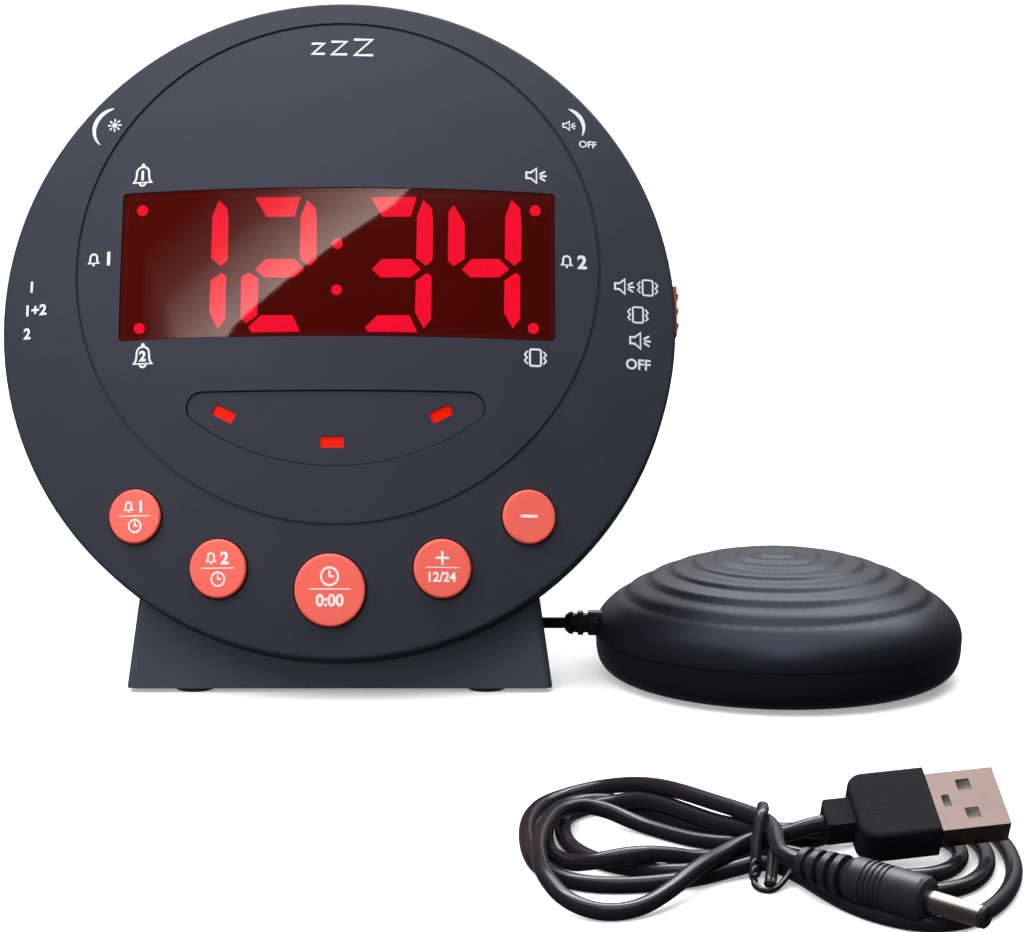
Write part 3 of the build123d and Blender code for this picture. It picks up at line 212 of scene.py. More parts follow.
FINISH = {
    "front_shell": case, "alert_panel": case, "snooze_button": case,
    "rear_shell": case_back, "stand": stand_mat, "base_plate": stand_mat,
    "battery_door": stand_mat, "battery_tray": part_mat,
    "dimmer_wheel": wheel_mat, "volume_wheel": wheel_mat,
    "alarm_select_knob": coral, "mode_select_knob": coral,
    "display_lens": lens_mat, "display_module": module_mat,
    "display_segments": segment_mat, "alert_lights": light_mat,
    "alert_leds": led_mat, "al1_button": coral, "al2_button": coral,
    "time_button": coral, "up_button": coral, "down_button": coral,
    "main_board": board_mat, "button_board": board_mat, "board_parts": part_mat,
    "tact_switches": part_mat, "snooze_switch": board_mat, "wheel_pots": part_mat,
    "slide_switch_bodies": steel, "speaker_frame": steel, "speaker_magnet": steel,
    "speaker_cone": cone_mat, "dc_jack": part_mat, "shaker_jack": part_mat,
    "case_screws": screw_mat, "base_screws": screw_mat, "shaker_screws": screw_mat,
    "rubber_feet": rubber, "backup_batteries": cell_mat,
    "battery_contacts": contact_mat, "shaker_top_shell": puck_mat,
    "shaker_bottom_shell": puck_mat, "shaker_base_pad": pad_mat,
    "shaker_motor": motor_mat, "motor_bracket": bracket_mat,
    "eccentric_weight": brass, "shaker_strain_relief": lead_mat,
    "shaker_plug": dc_mould, "shaker_lead_near": lead_mat,
    "shaker_lead_far": lead_mat, "shaker_lead_coil": lead_mat,
    "shaker_lead_tie": tie_mat, "usb_lead_hank": cable_mat, "hank_tie": tie_mat,
    "usb_plug_body": mould_mat, "usb_plug_shell": usb_steel,
    "usb_plug_tongue": tongue_mat, "dc_plug_body": dc_mould,
    "dc_plug_barrel": barrel_mat, "dc_plug_tip": tip_mat,
}
for name, node in nodes.items():
    finish = FINISH.get(name, part_mat)
    if not node.data.materials:
        node.data.materials.append(finish)
    for slot in node.material_slots:
        slot.material = finish


# ------------------------------------------------------------------- frames
LEAN = math.radians(19)
SN, CS = math.sin(LEAN), math.cos(LEAN)
DOME_R, FACE_R = 200.0, 70.0
DOME_W = -math.sqrt(DOME_R ** 2 - FACE_R ** 2)


def at(x, v, w):
    """Row-frame point, in mm, from dial coordinates: right, up, out."""
    return Vector((x, -18 + v * SN - w * CS, 75.8 + v * CS + w * SN))


def on_dome(x, v, radius):
    return at(x, v, math.sqrt(radius ** 2 - x * x - v * v) + DOME_W)


def put(name, data, body, material):
    obj = bpy.data.objects.new(name, data)
    scene.collection.objects.link(obj)
    if not data.materials:
        data.materials.append(material)
    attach(obj, body)
    return obj


# -------------------------------------------------------------------- cords
def cord_curve(name, points, thick, body, material):
    """One open NURBS spline through the route's control points, in mm."""
    curve = bpy.data.curves.new(name, "CURVE")
    curve.dimensions = "3D"
    curve.bevel_depth = thick / 2 * MM
    curve.bevel_resolution = 6
    curve.use_fill_caps = True
    curve.resolution_u = 8
    spline = curve.splines.new("NURBS")
    spline.points.add(len(points) - 1)
    for p, co in zip(spline.points, points):
        p.co = (co[0] * MM, co[1] * MM, co[2] * MM, 1)
    spline.order_u = 3
    spline.use_endpoint_u = True
    return put(name, curve, body, material)


# Shaker lead: out of the puck, over to the floor behind the stand, a neat tied
# coil, and up to its socket in the back of the case.
NEAR = [(48.4, -14.0, 11.5), (42.4, -14.0, 11.5), (37.5, -11.7, 11.0),
        (34.0, -6.9, 10.1), (33.4, 0.5, 8.5), (33.9, 9.5, 6.0), (33.6, 20.0, 3.5),
        (31.6, 32.0, 1.8), (28.4, 45.0, 1.4), (24.2, 58.0, 1.3), (20.4, 70.0, 1.3),
        (18.4, 79.0, 1.3)]
COIL_AT = (0.0, 94.0)
COLUMNS = (18.6, 10.8)
ROW_0, ROW_STEP = 1.25, 2.45


def coil_points():
    """Layers of three turns, in and out again, with half a turn between two of
    them in which the lead climbs; sixteen points to each turn."""
    points, turn, step = [], -20.0, 22.5
    for layer in range(4):
        z = ROW_0 + layer * ROW_STEP
        a, b = (COLUMNS if layer % 2 == 0 else COLUMNS[::-1])
        for i in range(48):
            points.append([turn, a + (b - a) * i / 48, z])
            turn += step
        if layer < 3:
            for i in range(8):
                points.append([turn, b, z + ROW_STEP * i / 8])
                turn += step
    out = []
    for turn, r, z in points:
        r += rng.uniform(-0.10, 0.10)
        off = (turn + 90 + 180) % 360 - 180      # 0 where the tie holds the turns
        lift = 0.85 * math.exp(-(off / 24.0) ** 2)
        a = math.radians(turn)
        out.append((COIL_AT[0] + r * math.cos(a), COIL_AT[1] + r * math.sin(a), z + lift))
    return out


COIL = coil_points()
PLUG_TAIL = at(-28, -22, -71)
UP = [(-19.6, 90.6, 8.4), (-20.6, 84.6, 7.5), (-22.8, 77.6, 6.9), (-25.2, 70.6, 9.4),
      (-26.9, 64.2, 15.4), (-27.7, 57.4, 23.4),
      tuple(at(-28, -22, -79.2)), tuple(at(-28, -22, -74.5)), tuple(at(-28, -22, -70.2))]
shaker_lead = cord_curve("shaker_lead_cord", NEAR + COIL + UP, 2.4, "root", lead_mat)
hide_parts("shaker_lead_near", "shaker_lead_coil", "shaker_lead_far")

# Power lead: from the USB plug round both ends of the tied hank to the barrel plug.
T = 77.2
P1, P2, P3, P4, P5 = [(T, y, 2.5) for y in (-140.3, -143.8, -147.0, -150.2, -153.7)]
Q2, Q3, T1 = (T, -145.4, 5.0), (T, -148.7, 5.0), (T, -147.1, 7.6)
USB = [(87.1, -148.8, 7.35), (83.6, -149.4, 6.7), (81.2, -149.5, 5.7)]
S3 = [Q3, (73.2, -151.6, 4.6), (69.4, -156.8, 4.3), (65.2, -163.6, 4.3),
      (60.6, -170.6, 2.8), (55.6, -175.8, 1.5), (49.6, -177.6, 1.4), (44.2, -174.2, 2.4),
      (41.2, -167.2, 3.9), (40.2, -158.6, 4.3), (40.2, -149.6, 4.3), (41.2, -140.6, 4.3),
      (43.4, -132.4, 4.4), (47.2, -127.4, 4.3), (52.0, -126.6, 3.2), (57.0, -129.6, 1.7),
      (61.8, -134.2, 1.4), (66.6, -138.8, 1.4), (71.8, -142.4, 1.9)]
R2 = [P2, (82.2, -142.4, 1.9), (86.6, -139.2, 1.4), (91.2, -134.0, 1.4),
      (96.4, -129.8, 1.4), (102.4, -128.0, 1.4), (108.4, -129.6, 1.4),
      (112.6, -134.4, 1.4), (114.4, -141.4, 1.4), (114.2, -149.4, 1.4),
      (112.2, -157.6, 1.4), (107.8, -164.6, 1.4), (101.4, -167.8, 1.4),
      (94.8, -165.4, 1.4), (89.2, -159.4, 1.4), (83.6, -153.2, 1.6)]
C1 = [P4, (71.8, -153.0, 1.8), (66.4, -156.0, 1.4), (60.6, -156.9, 1.4),
      (55.2, -154.6, 1.4), (50.4, -151.2, 1.4), (46.8, -145.8, 1.4), (44.9, -139.4, 1.4),
      (44.4, -132.4, 1.4), (45.0, -125.8, 1.4), (47.6, -120.4, 1.4), (52.4, -118.4, 1.8),
      (57.6, -120.8, 3.4), (61.8, -126.0, 4.2), (66.0, -132.2, 4.3), (70.0, -137.8, 4.3),
      (73.4, -142.2, 4.8)]
R3 = [Q2, (81.6, -145.2, 4.9), (87.0, -141.4, 3.8), (92.6, -137.2, 2.2),
      (98.6, -134.2, 1.4), (104.2, -134.0, 1.4), (108.6, -137.4, 1.4),
      (110.4, -143.6, 1.4), (109.6, -150.4, 1.4), (106.4, -156.4, 1.4),
      (101.4, -159.4, 1.4), (96.0, -159.0, 1.4), (91.2, -155.6, 1.4), (86.8, -151.2, 1.4),
      (82.2, -148.0, 1.9)]
E2 = [P3, (72.0, -148.4, 1.9), (66.6, -150.8, 1.7), (61.2, -153.6, 3.5),
      (55.6, -156.6, 4.5), (49.8, -157.6, 3.6), (45.2, -153.4, 1.8), (42.2, -146.8, 1.4),
      (41.4, -138.6, 1.4), (41.8, -129.6, 1.4), (43.2, -121.4, 1.4), (47.2, -115.8, 1.4),
      (52.8, -114.8, 1.4), (58.0, -118.6, 1.4), (62.0, -124.4, 1.4), (66.2, -130.6, 1.4),
      (71.0, -136.4, 1.8)]
R1 = [P1, (83.0, -138.6, 1.8), (87.8, -133.4, 1.4), (92.4, -127.0, 1.4),
      (97.8, -121.6, 1.4), (104.4, -119.4, 1.4), (111.0, -121.8, 1.4),
      (115.8, -128.2, 1.4), (118.0, -137.0, 1.4), (118.4, -147.0, 1.4),
      (117.2, -157.4, 1.4), (114.2, -167.4, 1.4), (110.0, -175.8, 1.4),
      (104.6, -181.6, 1.4), (98.4, -182.6, 1.4), (92.6, -178.8, 1.4), (88.0, -172.4, 1.4),
      (84.8, -164.8, 1.4), (82.0, -158.0, 1.6)]
F1 = [P5, (71.8, -155.9, 1.8), (66.6, -159.2, 1.4), (61.0, -161.8, 1.4),
      (54.6, -163.6, 1.4), (48.2, -163.2, 1.4), (43.0, -159.4, 1.4), (39.8, -152.6, 1.4),
      (38.6, -144.0, 1.4), (38.3, -134.6, 1.4), (38.9, -125.4, 1.4), (41.2, -117.2, 1.4),
      (46.0, -111.8, 1.6), (51.8, -111.2, 2.8), (57.0, -116.0, 4.7), (61.2, -122.8, 6.3),
      (65.2, -129.6, 7.1), (69.4, -135.8, 7.3), (73.6, -141.6, 7.5)]
DC_FROM, DC_TO = Vector((81.3, -167.5, 6.6)), Vector((107.2, -188.6, 4.3))
DC_U = (DC_TO - DC_FROM).normalized()
DC = [T1, (78.6, -152.6, 7.6), (78.4, -159.0, 7.0), tuple(DC_FROM - DC_U * 3.6),
      tuple(DC_FROM + DC_U * 1.0)]
power_lead = cord_curve("power_lead_cord", USB + S3 + R2 + C1 + R3 + E2 + R1 + F1 + DC,
                        2.8, "power_lead", cable_mat)
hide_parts("usb_lead_hank")


def tube_mesh(name, line, radii, sides=14, closed=False, flat=1.0, axis=None):
    """A tube about a line of points in mm: radii are one number or one for each
    point, and flat squeezes it across axis, for a band."""
    line = [Vector(p) for p in line]
    n = len(line)
    if not hasattr(radii, "__len__"):
        radii = [radii] * n
    bm = bmesh.new()
    rings, up = [], Vector(axis) if axis is not None else Vector((0.13, 0.21, 0.97))
    for i, p in enumerate(line):
        a = line[i - 1] if (closed or i) else p
        b = line[(i + 1) % n] if (closed or i < n - 1) else p
        along = (b - a).normalized()
        side = up - along * up.dot(along)
        if side.length < 1e-6:
            side = along.orthogonal()
        side.normalize()
        other = along.cross(side)
        if axis is None:
            up = side
        ring = []
        for k in range(sides):
            t = 2 * math.pi * k / sides
            ring.append(bm.verts.new((p + side * radii[i] * math.cos(t)
                                      + other * radii[i] * flat * math.sin(t)) * MM))
        rings.append(ring)
    for i in range(n if closed else n - 1):
        a, b = rings[i], rings[(i + 1) % n]
        for k in range(sides):
            bm.faces.new((a[k], a[(k + 1) % sides], b[(k + 1) % sides], b[k]))
    if not closed:
        bm.faces.new(rings[0][::-1])
        bm.faces.new(rings[-1])
    bmesh.ops.recalc_face_normals(bm, faces=bm.faces)
    for f in bm.faces:
        f.smooth = True
    mesh = bpy.data.meshes.new(name)
    bm.to_mesh(mesh)
    bm.free()
    return mesh


def joined(name, meshes):
    bm = bmesh.new()
    for mesh in meshes:
        bm.from_mesh(mesh)
        bpy.data.meshes.remove(mesh)
    out = bpy.data.meshes.new(name)
    bm.to_mesh(out)
    bm.free()
    return out


def hoop(centre, half_a, half_b, corner, plane, n=14, drift=0.0):
    """Closed rounded rectangle: plane gives the two directions and the normal."""
    a, b, c = (Vector(d) for d in plane)
    points = []
    for cx, cy, start in ((1, 1, 0), (-1, 1, 90), (-1, -1, 180), (1, -1, 270)):
        for i in range(n):
            t = math.radians(start + 90 * i / (n - 1))
            points.append(Vector(centre) + a * (cx * (half_a - corner) + corner * math.cos(t))
                          + b * (cy * (half_b - corner) + corner * math.sin(t)))
    for i, p in enumerate(points):
        p += c * drift * math.sin(2 * math.pi * i / len(points) * 1.5)
    return points


def smooth_line(points, per=8):
    """Catmull-Rom through a few points, for the tie's bent ends."""
    pts = [Vector(p) for p in points]
    pts = [pts[0] * 2 - pts[1]] + pts + [pts[-1] * 2 - pts[-2]]
    out = []
    for i in range(1, len(pts) - 2):
        p0, p1, p2, p3 = pts[i - 1:i + 3]
        for k in range(per):
            t = k / per
            out.append(0.5 * ((2 * p1) + (p2 - p0) * t + (2 * p0 - 5 * p1 + 4 * p2 - p3) * t * t
                              + (3 * p1 - p0 - 3 * p2 + p3) * t ** 3))
    out.append(pts[-2])
    return out


def twisted(a, b, radius, turns, r_wire, per=10):
    """Two wires laid round each other from a to b."""
    a, b = Vector(a), Vector(b)
    along = (b - a).normalized()
    side = along.orthogonal().normalized()
    other = along.cross(side)
    out = []
    for phase in (0, math.pi):
        line = []
        for i in range(int(turns * per) + 1):
            t = i / (turns * per)
            ang = phase + 2 * math.pi * turns * t
            line.append(a.lerp(b, t) + (side * math.cos(ang) + other * math.sin(ang)) * radius)
        out.append(tube_mesh("wire", line, r_wire, 10))
    return out


# the band is taut round the bundle, and leans to the left towards its foot
ring = []
for (cy, cz), a0, a1 in (((-140.3, 2.5), -90, 53), ((-146.6, 7.5), 53, 90),
                         ((-150.0, 7.5), 90, 143), ((-153.7, 2.5), 143, 270)):
    for i in range(12):
        t = math.radians(a0 + (a1 - a0) * i / 11)
        ring.append((cy + 2.15 * math.cos(t), cz + 2.15 * math.sin(t)))
taut = []
for i, (y, z) in enumerate(ring):
    y2, z2 = ring[(i + 1) % len(ring)]
    steps = max(1, int(math.hypot(y2 - y, z2 - z) / 0.7))
    for k in range(steps):
        taut.append((y + (y2 - y) * k / steps, z + (z2 - z) * k / steps))
ring = []
for y, z in taut:
    lean = min(1.0, max(0.0, (-148.0 - y) / 7.5))
    lean = lean * lean * (3 - 2 * lean)
    ring.append((77.3 - 1.9 * lean, y, max(z, 0.66)))
tie_parts = [tube_mesh("band", ring, 0.90, 14, True, flat=0.72, axis=(1, 0, 0))]
# the band's foot curls under, a flat stub stands on it and a thin end bends back up
tie_parts += twisted((75.2, -156.0, 3.0), (74.8, -160.2, 1.3), 0.42, 1.2, 0.50)
tie_parts.append(tube_mesh("stub", smooth_line([(78.2, -156.4, 4.9), (77.9, -158.3, 3.4),
                                                (77.4, -160.6, 1.5), (77.1, -162.0, 1.05)]),
                           1.00, 12, flat=0.72, axis=(1, 0, 0)))
tie_parts.append(tube_mesh("end", smooth_line([(74.7, -159.4, 1.4), (74.8, -161.6, 0.8),
                                               (75.9, -163.3, 0.60), (77.4, -163.4, 0.62),
                                               (79.0, -161.3, 1.0), (80.6, -158.8, 2.0),
                                               (81.7, -157.2, 3.2)]),
                           0.50, 12))
hank_tie = put("hank_wire_tie", joined("hank_wire_tie", tie_parts), "power_lead", tie_mat)
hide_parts("hank_tie")

ring = hoop((0.0, 79.6, 5.85), 6.3, 5.0, 3.4, ((0, 1, 0), (0, 0, 1), (1, 0, 0)), drift=0.3)
for p in ring:
    p.z = max(p.z, 0.62)
coil_parts = [tube_mesh("band", ring, 1.0, 14, True, flat=0.55, axis=(1, 0, 0))]
coil_parts += twisted((0.0, 74.2, 9.6), (1.0, 69.6, 10.4), 0.6, 1.5, 0.55)
coil_tie = put("coil_wire_tie", joined("coil_wire_tie", coil_parts), "root", tie_mat)
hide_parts("shaker_lead_tie")


# ------------------------------------------------------------ printed marks
def stroke(bm, points, width, closed=False, caps=True):
    """A flat line of that width in the dial's plane, in mm. width may be a list."""
    pts = [Vector((p[0], p[1])) for p in points]
    n = len(pts)
    widths = list(width) if hasattr(width, "__len__") else [width] * n
    left, right = [], []
    for i, p in enumerate(pts):
        a = pts[i - 1] if (closed or i) else None
        b = pts[(i + 1) % n] if (closed or i < n - 1) else None
        d1 = (p - a).normalized() if a is not None else (b - p).normalized()
        d2 = (b - p).normalized() if b is not None else d1
        n1, n2 = Vector((-d1.y, d1.x)), Vector((-d2.y, d2.x))
        m = n1 + n2
        m = m.normalized() if m.length > 1e-6 else n1
        k = min(1.6, 1 / max(0.4, m.dot(n1))) * widths[i] / 2
        left.append(bm.verts.new((p.x + m.x * k, p.y + m.y * k, 0)))
        right.append(bm.verts.new((p.x - m.x * k, p.y - m.y * k, 0)))
    for i in range(n if closed else n - 1):
        j = (i + 1) % n
        bm.faces.new((left[i], right[i], right[j], left[j]))
    if caps and not closed:
        for i, sign in ((0, -1), (n - 1, 1)):
            d = (pts[1] - pts[0]) if i == 0 else (pts[-1] - pts[-2])
            base = math.atan2(d.y * sign, d.x * sign)
            r = widths[i] / 2
            fan = []
            for k in range(1, 6):
                t = base - math.pi / 2 + math.pi * k / 6
                fan.append(bm.verts.new((pts[i].x + r * math.cos(t), pts[i].y + r * math.sin(t), 0)))
            first, last = (left[i], right[i]) if sign < 0 else (right[i], left[i])
            loop = [first] + fan + [last]
            bm.faces.new(loop)


def disc(bm, x, v, r, n=20):
    bm.faces.new([bm.verts.new((x + r * math.cos(2 * math.pi * i / n),
                                v + r * math.sin(2 * math.pi * i / n), 0)) for i in range(n)])


def arc(x, v, r, a0, a1, n=20):
    return [(x + r * math.cos(math.radians(a0 + (a1 - a0) * i / (n - 1))),
             v + r * math.sin(math.radians(a0 + (a1 - a0) * i / (n - 1)))) for i in range(n)]


def figures(bm, text, x, v, size, heavy=0.05, spacing=1.0):
    """Plain figures, centred on (x, v), size the height of a figure in mm."""
    curve = bpy.data.curves.new("figures", "FONT")
    curve.body = text
    curve.size = size / 0.70
    curve.align_x, curve.align_y = "CENTER", "CENTER"
    curve.offset = heavy
    curve.space_character = spacing
    curve.resolution_u = 5
    made = bpy.data.objects.new("figures", curve)
    flat = bpy.data.meshes.new_from_object(made)
    bpy.data.objects.remove(made)
    bpy.data.curves.remove(curve)
    xs = [c.co.x for c in flat.vertices]
    ys = [c.co.y for c in flat.vertices]
    cx, cy = (min(xs) + max(xs)) / 2, (min(ys) + max(ys)) / 2
    made = [bm.verts.new((c.co.x - cx + x, c.co.y - cy + v, 0)) for c in flat.vertices]
    for p in flat.polygons:
        try:
            bm.faces.new([made[i] for i in p.vertices])
        except ValueError:
            pass
    bpy.data.meshes.remove(flat)


def printed(name, draw, radius, body, material, thick=0.07):
    """Ink of that thickness on a dome of that radius, from a flat drawing."""
    bm = bmesh.new()
    draw(bm)
    bmesh.ops.remove_doubles(bm, verts=bm.verts, dist=1e-5)
    bmesh.ops.recalc_face_normals(bm, faces=bm.faces)
    flip = [f for f in bm.faces if f.normal.z < 0]
    if flip:
        bmesh.ops.reverse_faces(bm, faces=flip)
    long = [e for e in bm.edges if e.calc_length() > 1.6]
    if long:
        bmesh.ops.subdivide_edges(bm, edges=long, cuts=3)
    top = list(bm.faces)
    grown = bmesh.ops.extrude_face_region(bm, geom=top)
    for g in grown["geom"]:
        if isinstance(g, bmesh.types.BMVert):
            g.co.z = thick
    for c in bm.verts:
        p = on_dome(c.co.x, c.co.y, radius - 0.02 + c.co.z)
        c.co = p * MM
    bmesh.ops.recalc_face_normals(bm, faces=bm.faces)
    mesh = bpy.data.meshes.new(name)
    bm.to_mesh(mesh)
    bm.free()
    return put(name, mesh, body, material)


def bell(bm, x, v, h, line):
    """Outlined bell of height h with its clapper."""
    k = h / 6.2
    pts = [(-2.3, -1.9), (-1.75, -1.15), (-1.6, -0.3), (-1.55, 0.7)]
    pts += [(px, pv) for px, pv in arc(0, 0.75, 1.55, 175, 5, 12)]
    pts += [(1.6, -0.3), (1.75, -1.15), (2.3, -1.9)]
    stroke(bm, [(x + a * k, v + b * k) for a, b in pts], line, closed=True)
    stroke(bm, [(x + a * k, v + b * k) for a, b in arc(0, -2.0, 0.75, 200, 340, 8)], line)
    disc(bm, x, v + 2.75 * k, 0.36 * k + line * 0.2, 12)


def speaker(bm, x, v, h, line, dashes=3):
    k = h / 4.2
    pts = [(-2.5, -0.8), (-1.35, -0.8), (0.1, -2.0), (0.1, 2.0), (-1.35, 0.8), (-2.5, 0.8)]
    stroke(bm, [(x + a * k, v + b * k) for a, b in pts], line, closed=True)
    for angle in ((-32, 0, 32) if dashes == 3 else (0,)):
        c, s = math.cos(math.radians(angle)), math.sin(math.radians(angle))
        stroke(bm, [(x + (0.2 + r * c) * k, v + r * s * k) for r in (1.05, 2.3)], line)


def shakes(bm, x, v, h, line):
    k = h / 4.6
    box = (arc(0.75, 1.35, 0.4, 0, 90, 5) + arc(-0.75, 1.35, 0.4, 90, 180, 5)
           + arc(-0.75, -1.35, 0.4, 180, 270, 5) + arc(0.75, -1.35, 0.4, 270, 360, 5))
    stroke(bm, [(x + a * k, v + b * k) for a, b in box], line, closed=True)
    for sx in (-1, 1):
        zig = [(1.75, 1.25), (2.25, 0.62), (1.75, 0.0), (2.25, -0.62), (1.75, -1.25)]
        stroke(bm, [(x + sx * a * k, v + b * k) for a, b in zig], line * 0.85)


def sun(bm, x, v, r, line):
    disc(bm, x, v, r * 0.42, 14)
    for i in range(8):
        c, s = math.cos(i * math.pi / 4), math.sin(i * math.pi / 4)
        stroke(bm, [(x + c * r * t, v + s * r * t) for t in (0.68, 1.0)], line)


def clock(bm, x, v, r, line):
    stroke(bm, arc(x, v, r, 0, 345, 24), line, closed=True)
    stroke(bm, [(x, v + r * 0.58), (x, v), (x + r * 0.42, v)], line)


def zed(bm, x, v, w, h, line):
    stroke(bm, [(x - w / 2, v + h / 2), (x + w / 2, v + h / 2), (x - w / 2, v - h / 2),
                (x + w / 2, v - h / 2)], line)


def small_bell(bm, x, v, h, line):
    k = h / 4.6
    pts = [(-1.7, -1.3), (-1.2, -0.7), (-1.15, 0.6)] + arc(0, 0.65, 1.15, 175, 5, 8)
    pts += [(1.2, -0.7), (1.7, -1.3)]
    stroke(bm, [(x + a * k, v + b * k) for a, b in pts], line, closed=True)
    disc(bm, x, v - 1.95 * k, 0.42 * k, 10)


def crescent(bm, x, v, r, a0, a1, w_mid, w_end, n=28):
    stroke(bm, arc(x, v, r, a0, a1, n),
           [w_end + (w_mid - w_end) * math.sin(math.pi * (i / (n - 1)) ** 0.75) ** 0.9
            for i in range(n)])


def face_marks(bm):
    for dx, h in ((-5.0, 2.5), (-0.6, 3.1), (4.5, 3.8)):
        zed(bm, 0.14 + dx, 58.7 + (h - 3.0) * 0.25, h * 0.95, h, 0.60)
    # dimmer and volume: crescents beside the wheels
    crescent(bm, -47.15, 41.5, 4.8, 100, 225, 0.95, 0.22)
    sun(bm, -47.5, 42.3, 1.35, 0.34)
    crescent(bm, 46.6, 41.9, 4.4, 73, -23, 0.90, 0.20)
    speaker(bm, 47.9, 42.25, 2.2, 0.28)
    figures(bm, "OFF", 51.8, 38.2, 1.5, 0.04)
    bell(bm, -40.8, 30.3, 5.2, 0.42)
    figures(bm, "1", -40.85, 30.3, 2.0, 0.12)
    speaker(bm, 40.9, 30.25, 3.4, 0.42)
    small_bell(bm, -50.6, 12.4, 2.9, 0.40)
    figures(bm, "1", -47.4, 12.4, 2.75, 0.14)
    small_bell(bm, 47.2, 11.8, 2.9, 0.40)
    figures(bm, "2", 50.4, 11.8, 2.75, 0.14)
    # three-place switch on the left, four-place switch on the right
    figures(bm, "1", -63.9, 7.44, 2.2, 0.10)
    figures(bm, "1+2", -62.7, 2.45, 2.2, 0.10)
    figures(bm, "2", -64.6, -2.46, 2.2, 0.10)
    speaker(bm, 59.2, 7.2, 3.3, 0.40)
    shakes(bm, 64.1, 7.3, 4.3, 0.36)
    shakes(bm, 62.0, 1.35, 4.3, 0.38)
    speaker(bm, 62.4, -4.1, 3.5, 0.42)
    figures(bm, "OFF", 62.0, -9.1, 2.1, 0.07)
    bell(bm, -39.6, -8.6, 5.2, 0.42)
    figures(bm, "2", -39.65, -8.6, 2.0, 0.12)
    shakes(bm, 40.7, -8.9, 4.5, 0.42)


printed("face_marks", face_marks, 200.0, "root", print_mat)


def key_marks(kind, x, v, r):
    def draw(bm):
        if kind in ("al1", "al2"):
            k = r / 5.4
            small_bell(bm, x - 1.25 * k, v + 1.85 * k, 2.3 * k, 0.34)
            figures(bm, kind[-1], x + 1.3 * k, v + 1.85 * k, 2.2 * k, 0.11)
            stroke(bm, [(x - 3.2 * k, v), (x + 3.2 * k, v)], 0.20, caps=False)
            clock(bm, x, v - 2.0 * k, 1.25 * k, 0.34)
        elif kind == "time":
            clock(bm, x, v + 2.6, 1.75, 0.42)
            stroke(bm, [(x - 4.2, v + 0.1), (x + 4.2, v + 0.1)], 0.22, caps=False)
            figures(bm, "0:00", x, v - 2.1, 2.3, 0.10)
        elif kind == "up":
            for dx, dv in ((1.15, 0), (0, 1.15)):
                stroke(bm, [(x - dx, v + 2.0 - dv), (x + dx, v + 2.0 + dv)], 0.50)
            stroke(bm, [(x - 3.4, v + 0.1), (x + 3.4, v + 0.1)], 0.20, caps=False)
            figures(bm, "12/24", x, v - 1.75, 1.85, 0.08)
        else:
            stroke(bm, [(x - 1.5, v), (x + 1.5, v)], 0.56)
    return draw


for kind, x, v, r in (("al1", -40.9, -41.2, 5.4), ("al2", -23.75, -51.95, 5.85),
                      ("time", -1.0, -56.35, 7.2), ("up", 21.8, -51.95, 5.85),
                      ("down", 39.4, -41.3, 5.4)):
    printed(kind + "_mark", key_marks(kind, x, v, r), 201.3, kind + "_cap", mark_mat,
            0.06)


# ------------------------------------------------------------ floor and light
def floor_mesh():
    """Flat under the object, rising in a long slow curve behind it."""
    bm = bmesh.new()
    rows = []
    ys = [-3.0, -1.5, -0.8, -0.3, 0.0, 0.4] + [0.4 + 0.1 * i for i in range(1, 36)]
    for y in ys:
        z = 0.0 if y <= 0.4 else (y - 0.4) ** 2 / 4.2
        rows.append([bm.verts.new((x, y, z)) for x in (-4, -2, -1, 0, 1, 2, 4)])
    for a, b in zip(rows, rows[1:]):
        for i in range(len(a) - 1):
            f = bm.faces.new((a[i], a[i + 1], b[i + 1], b[i]))
            f.smooth = True
    mesh = bpy.data.meshes.new("floor")
    bm.to_mesh(mesh)
    bm.free()
    return mesh


floor = bpy.data.objects.new("floor", floor_mesh())
scene.collection.objects.link(floor)
floor_mat, nt, b = nodes_of("floor_pale")
place = nt.nodes.new("ShaderNodeTexCoord").outputs["Object"]
nt.links.new(ramp(nt, noise(nt, place, 6.0, 2.0), (0.93, 0.93, 0.932), (0.95, 0.95, 0.95)),
             b.inputs["Base Color"])
b.inputs["Roughness"].default_value = 0.9
b.inputs["Specular IOR Level"].default_value = 0.1
b.inputs["Emission Color"].default_value = (1, 1, 1, 1)
b.inputs["Emission Strength"].default_value = 0.32
floor.data.materials.append(floor_mat)
floor.visible_diffuse = False
floor.visible_glossy = False

world = bpy.data.worlds.new("studio")
scene.world = world
world.use_nodes = True
nt = world.node_tree
sky = nt.nodes.new("ShaderNodeTexCoord").outputs["Generated"]
split = nt.nodes.new("ShaderNodeSeparateXYZ")
nt.links.new(sky, split.inputs[0])
half = nt.nodes.new("ShaderNodeMapRange")
half.inputs["From Min"].default_value = -1.0
half.inputs["From Max"].default_value = 1.0
nt.links.new(split.outputs["Z"], half.inputs["Value"])


def sky_ramp(stops):
    up = nt.nodes.new("ShaderNodeValToRGB")
    up.color_ramp.interpolation = "EASE"
    up.color_ramp.elements[0].position = 0.0
    up.color_ramp.elements[1].position = 1.0
    for place, level in stops[1:-1]:
        up.color_ramp.elements.new(place)
    for stop, (place, level) in zip(up.color_ramp.elements, stops):
        stop.color = (level, level, level * 1.03, 1)
    nt.links.new(half.outputs["Result"], up.inputs["Fac"])
    return up.outputs["Color"]


# dark in front of the clock up to a third of the way to the zenith, brighter behind it
front_sky = sky_ramp([(0.0, 0.03), (0.5, 0.03), (0.84, 0.06), (1.0, 2.1)])
back_sky = sky_ramp([(0.0, 0.04), (0.5, 0.16), (0.60, 0.55), (1.0, 1.40)])
side = nt.nodes.new("ShaderNodeMapRange")
side.inputs["From Min"].default_value = -0.25
side.inputs["From Max"].default_value = 0.25
nt.links.new(split.outputs["Y"], side.inputs["Value"])
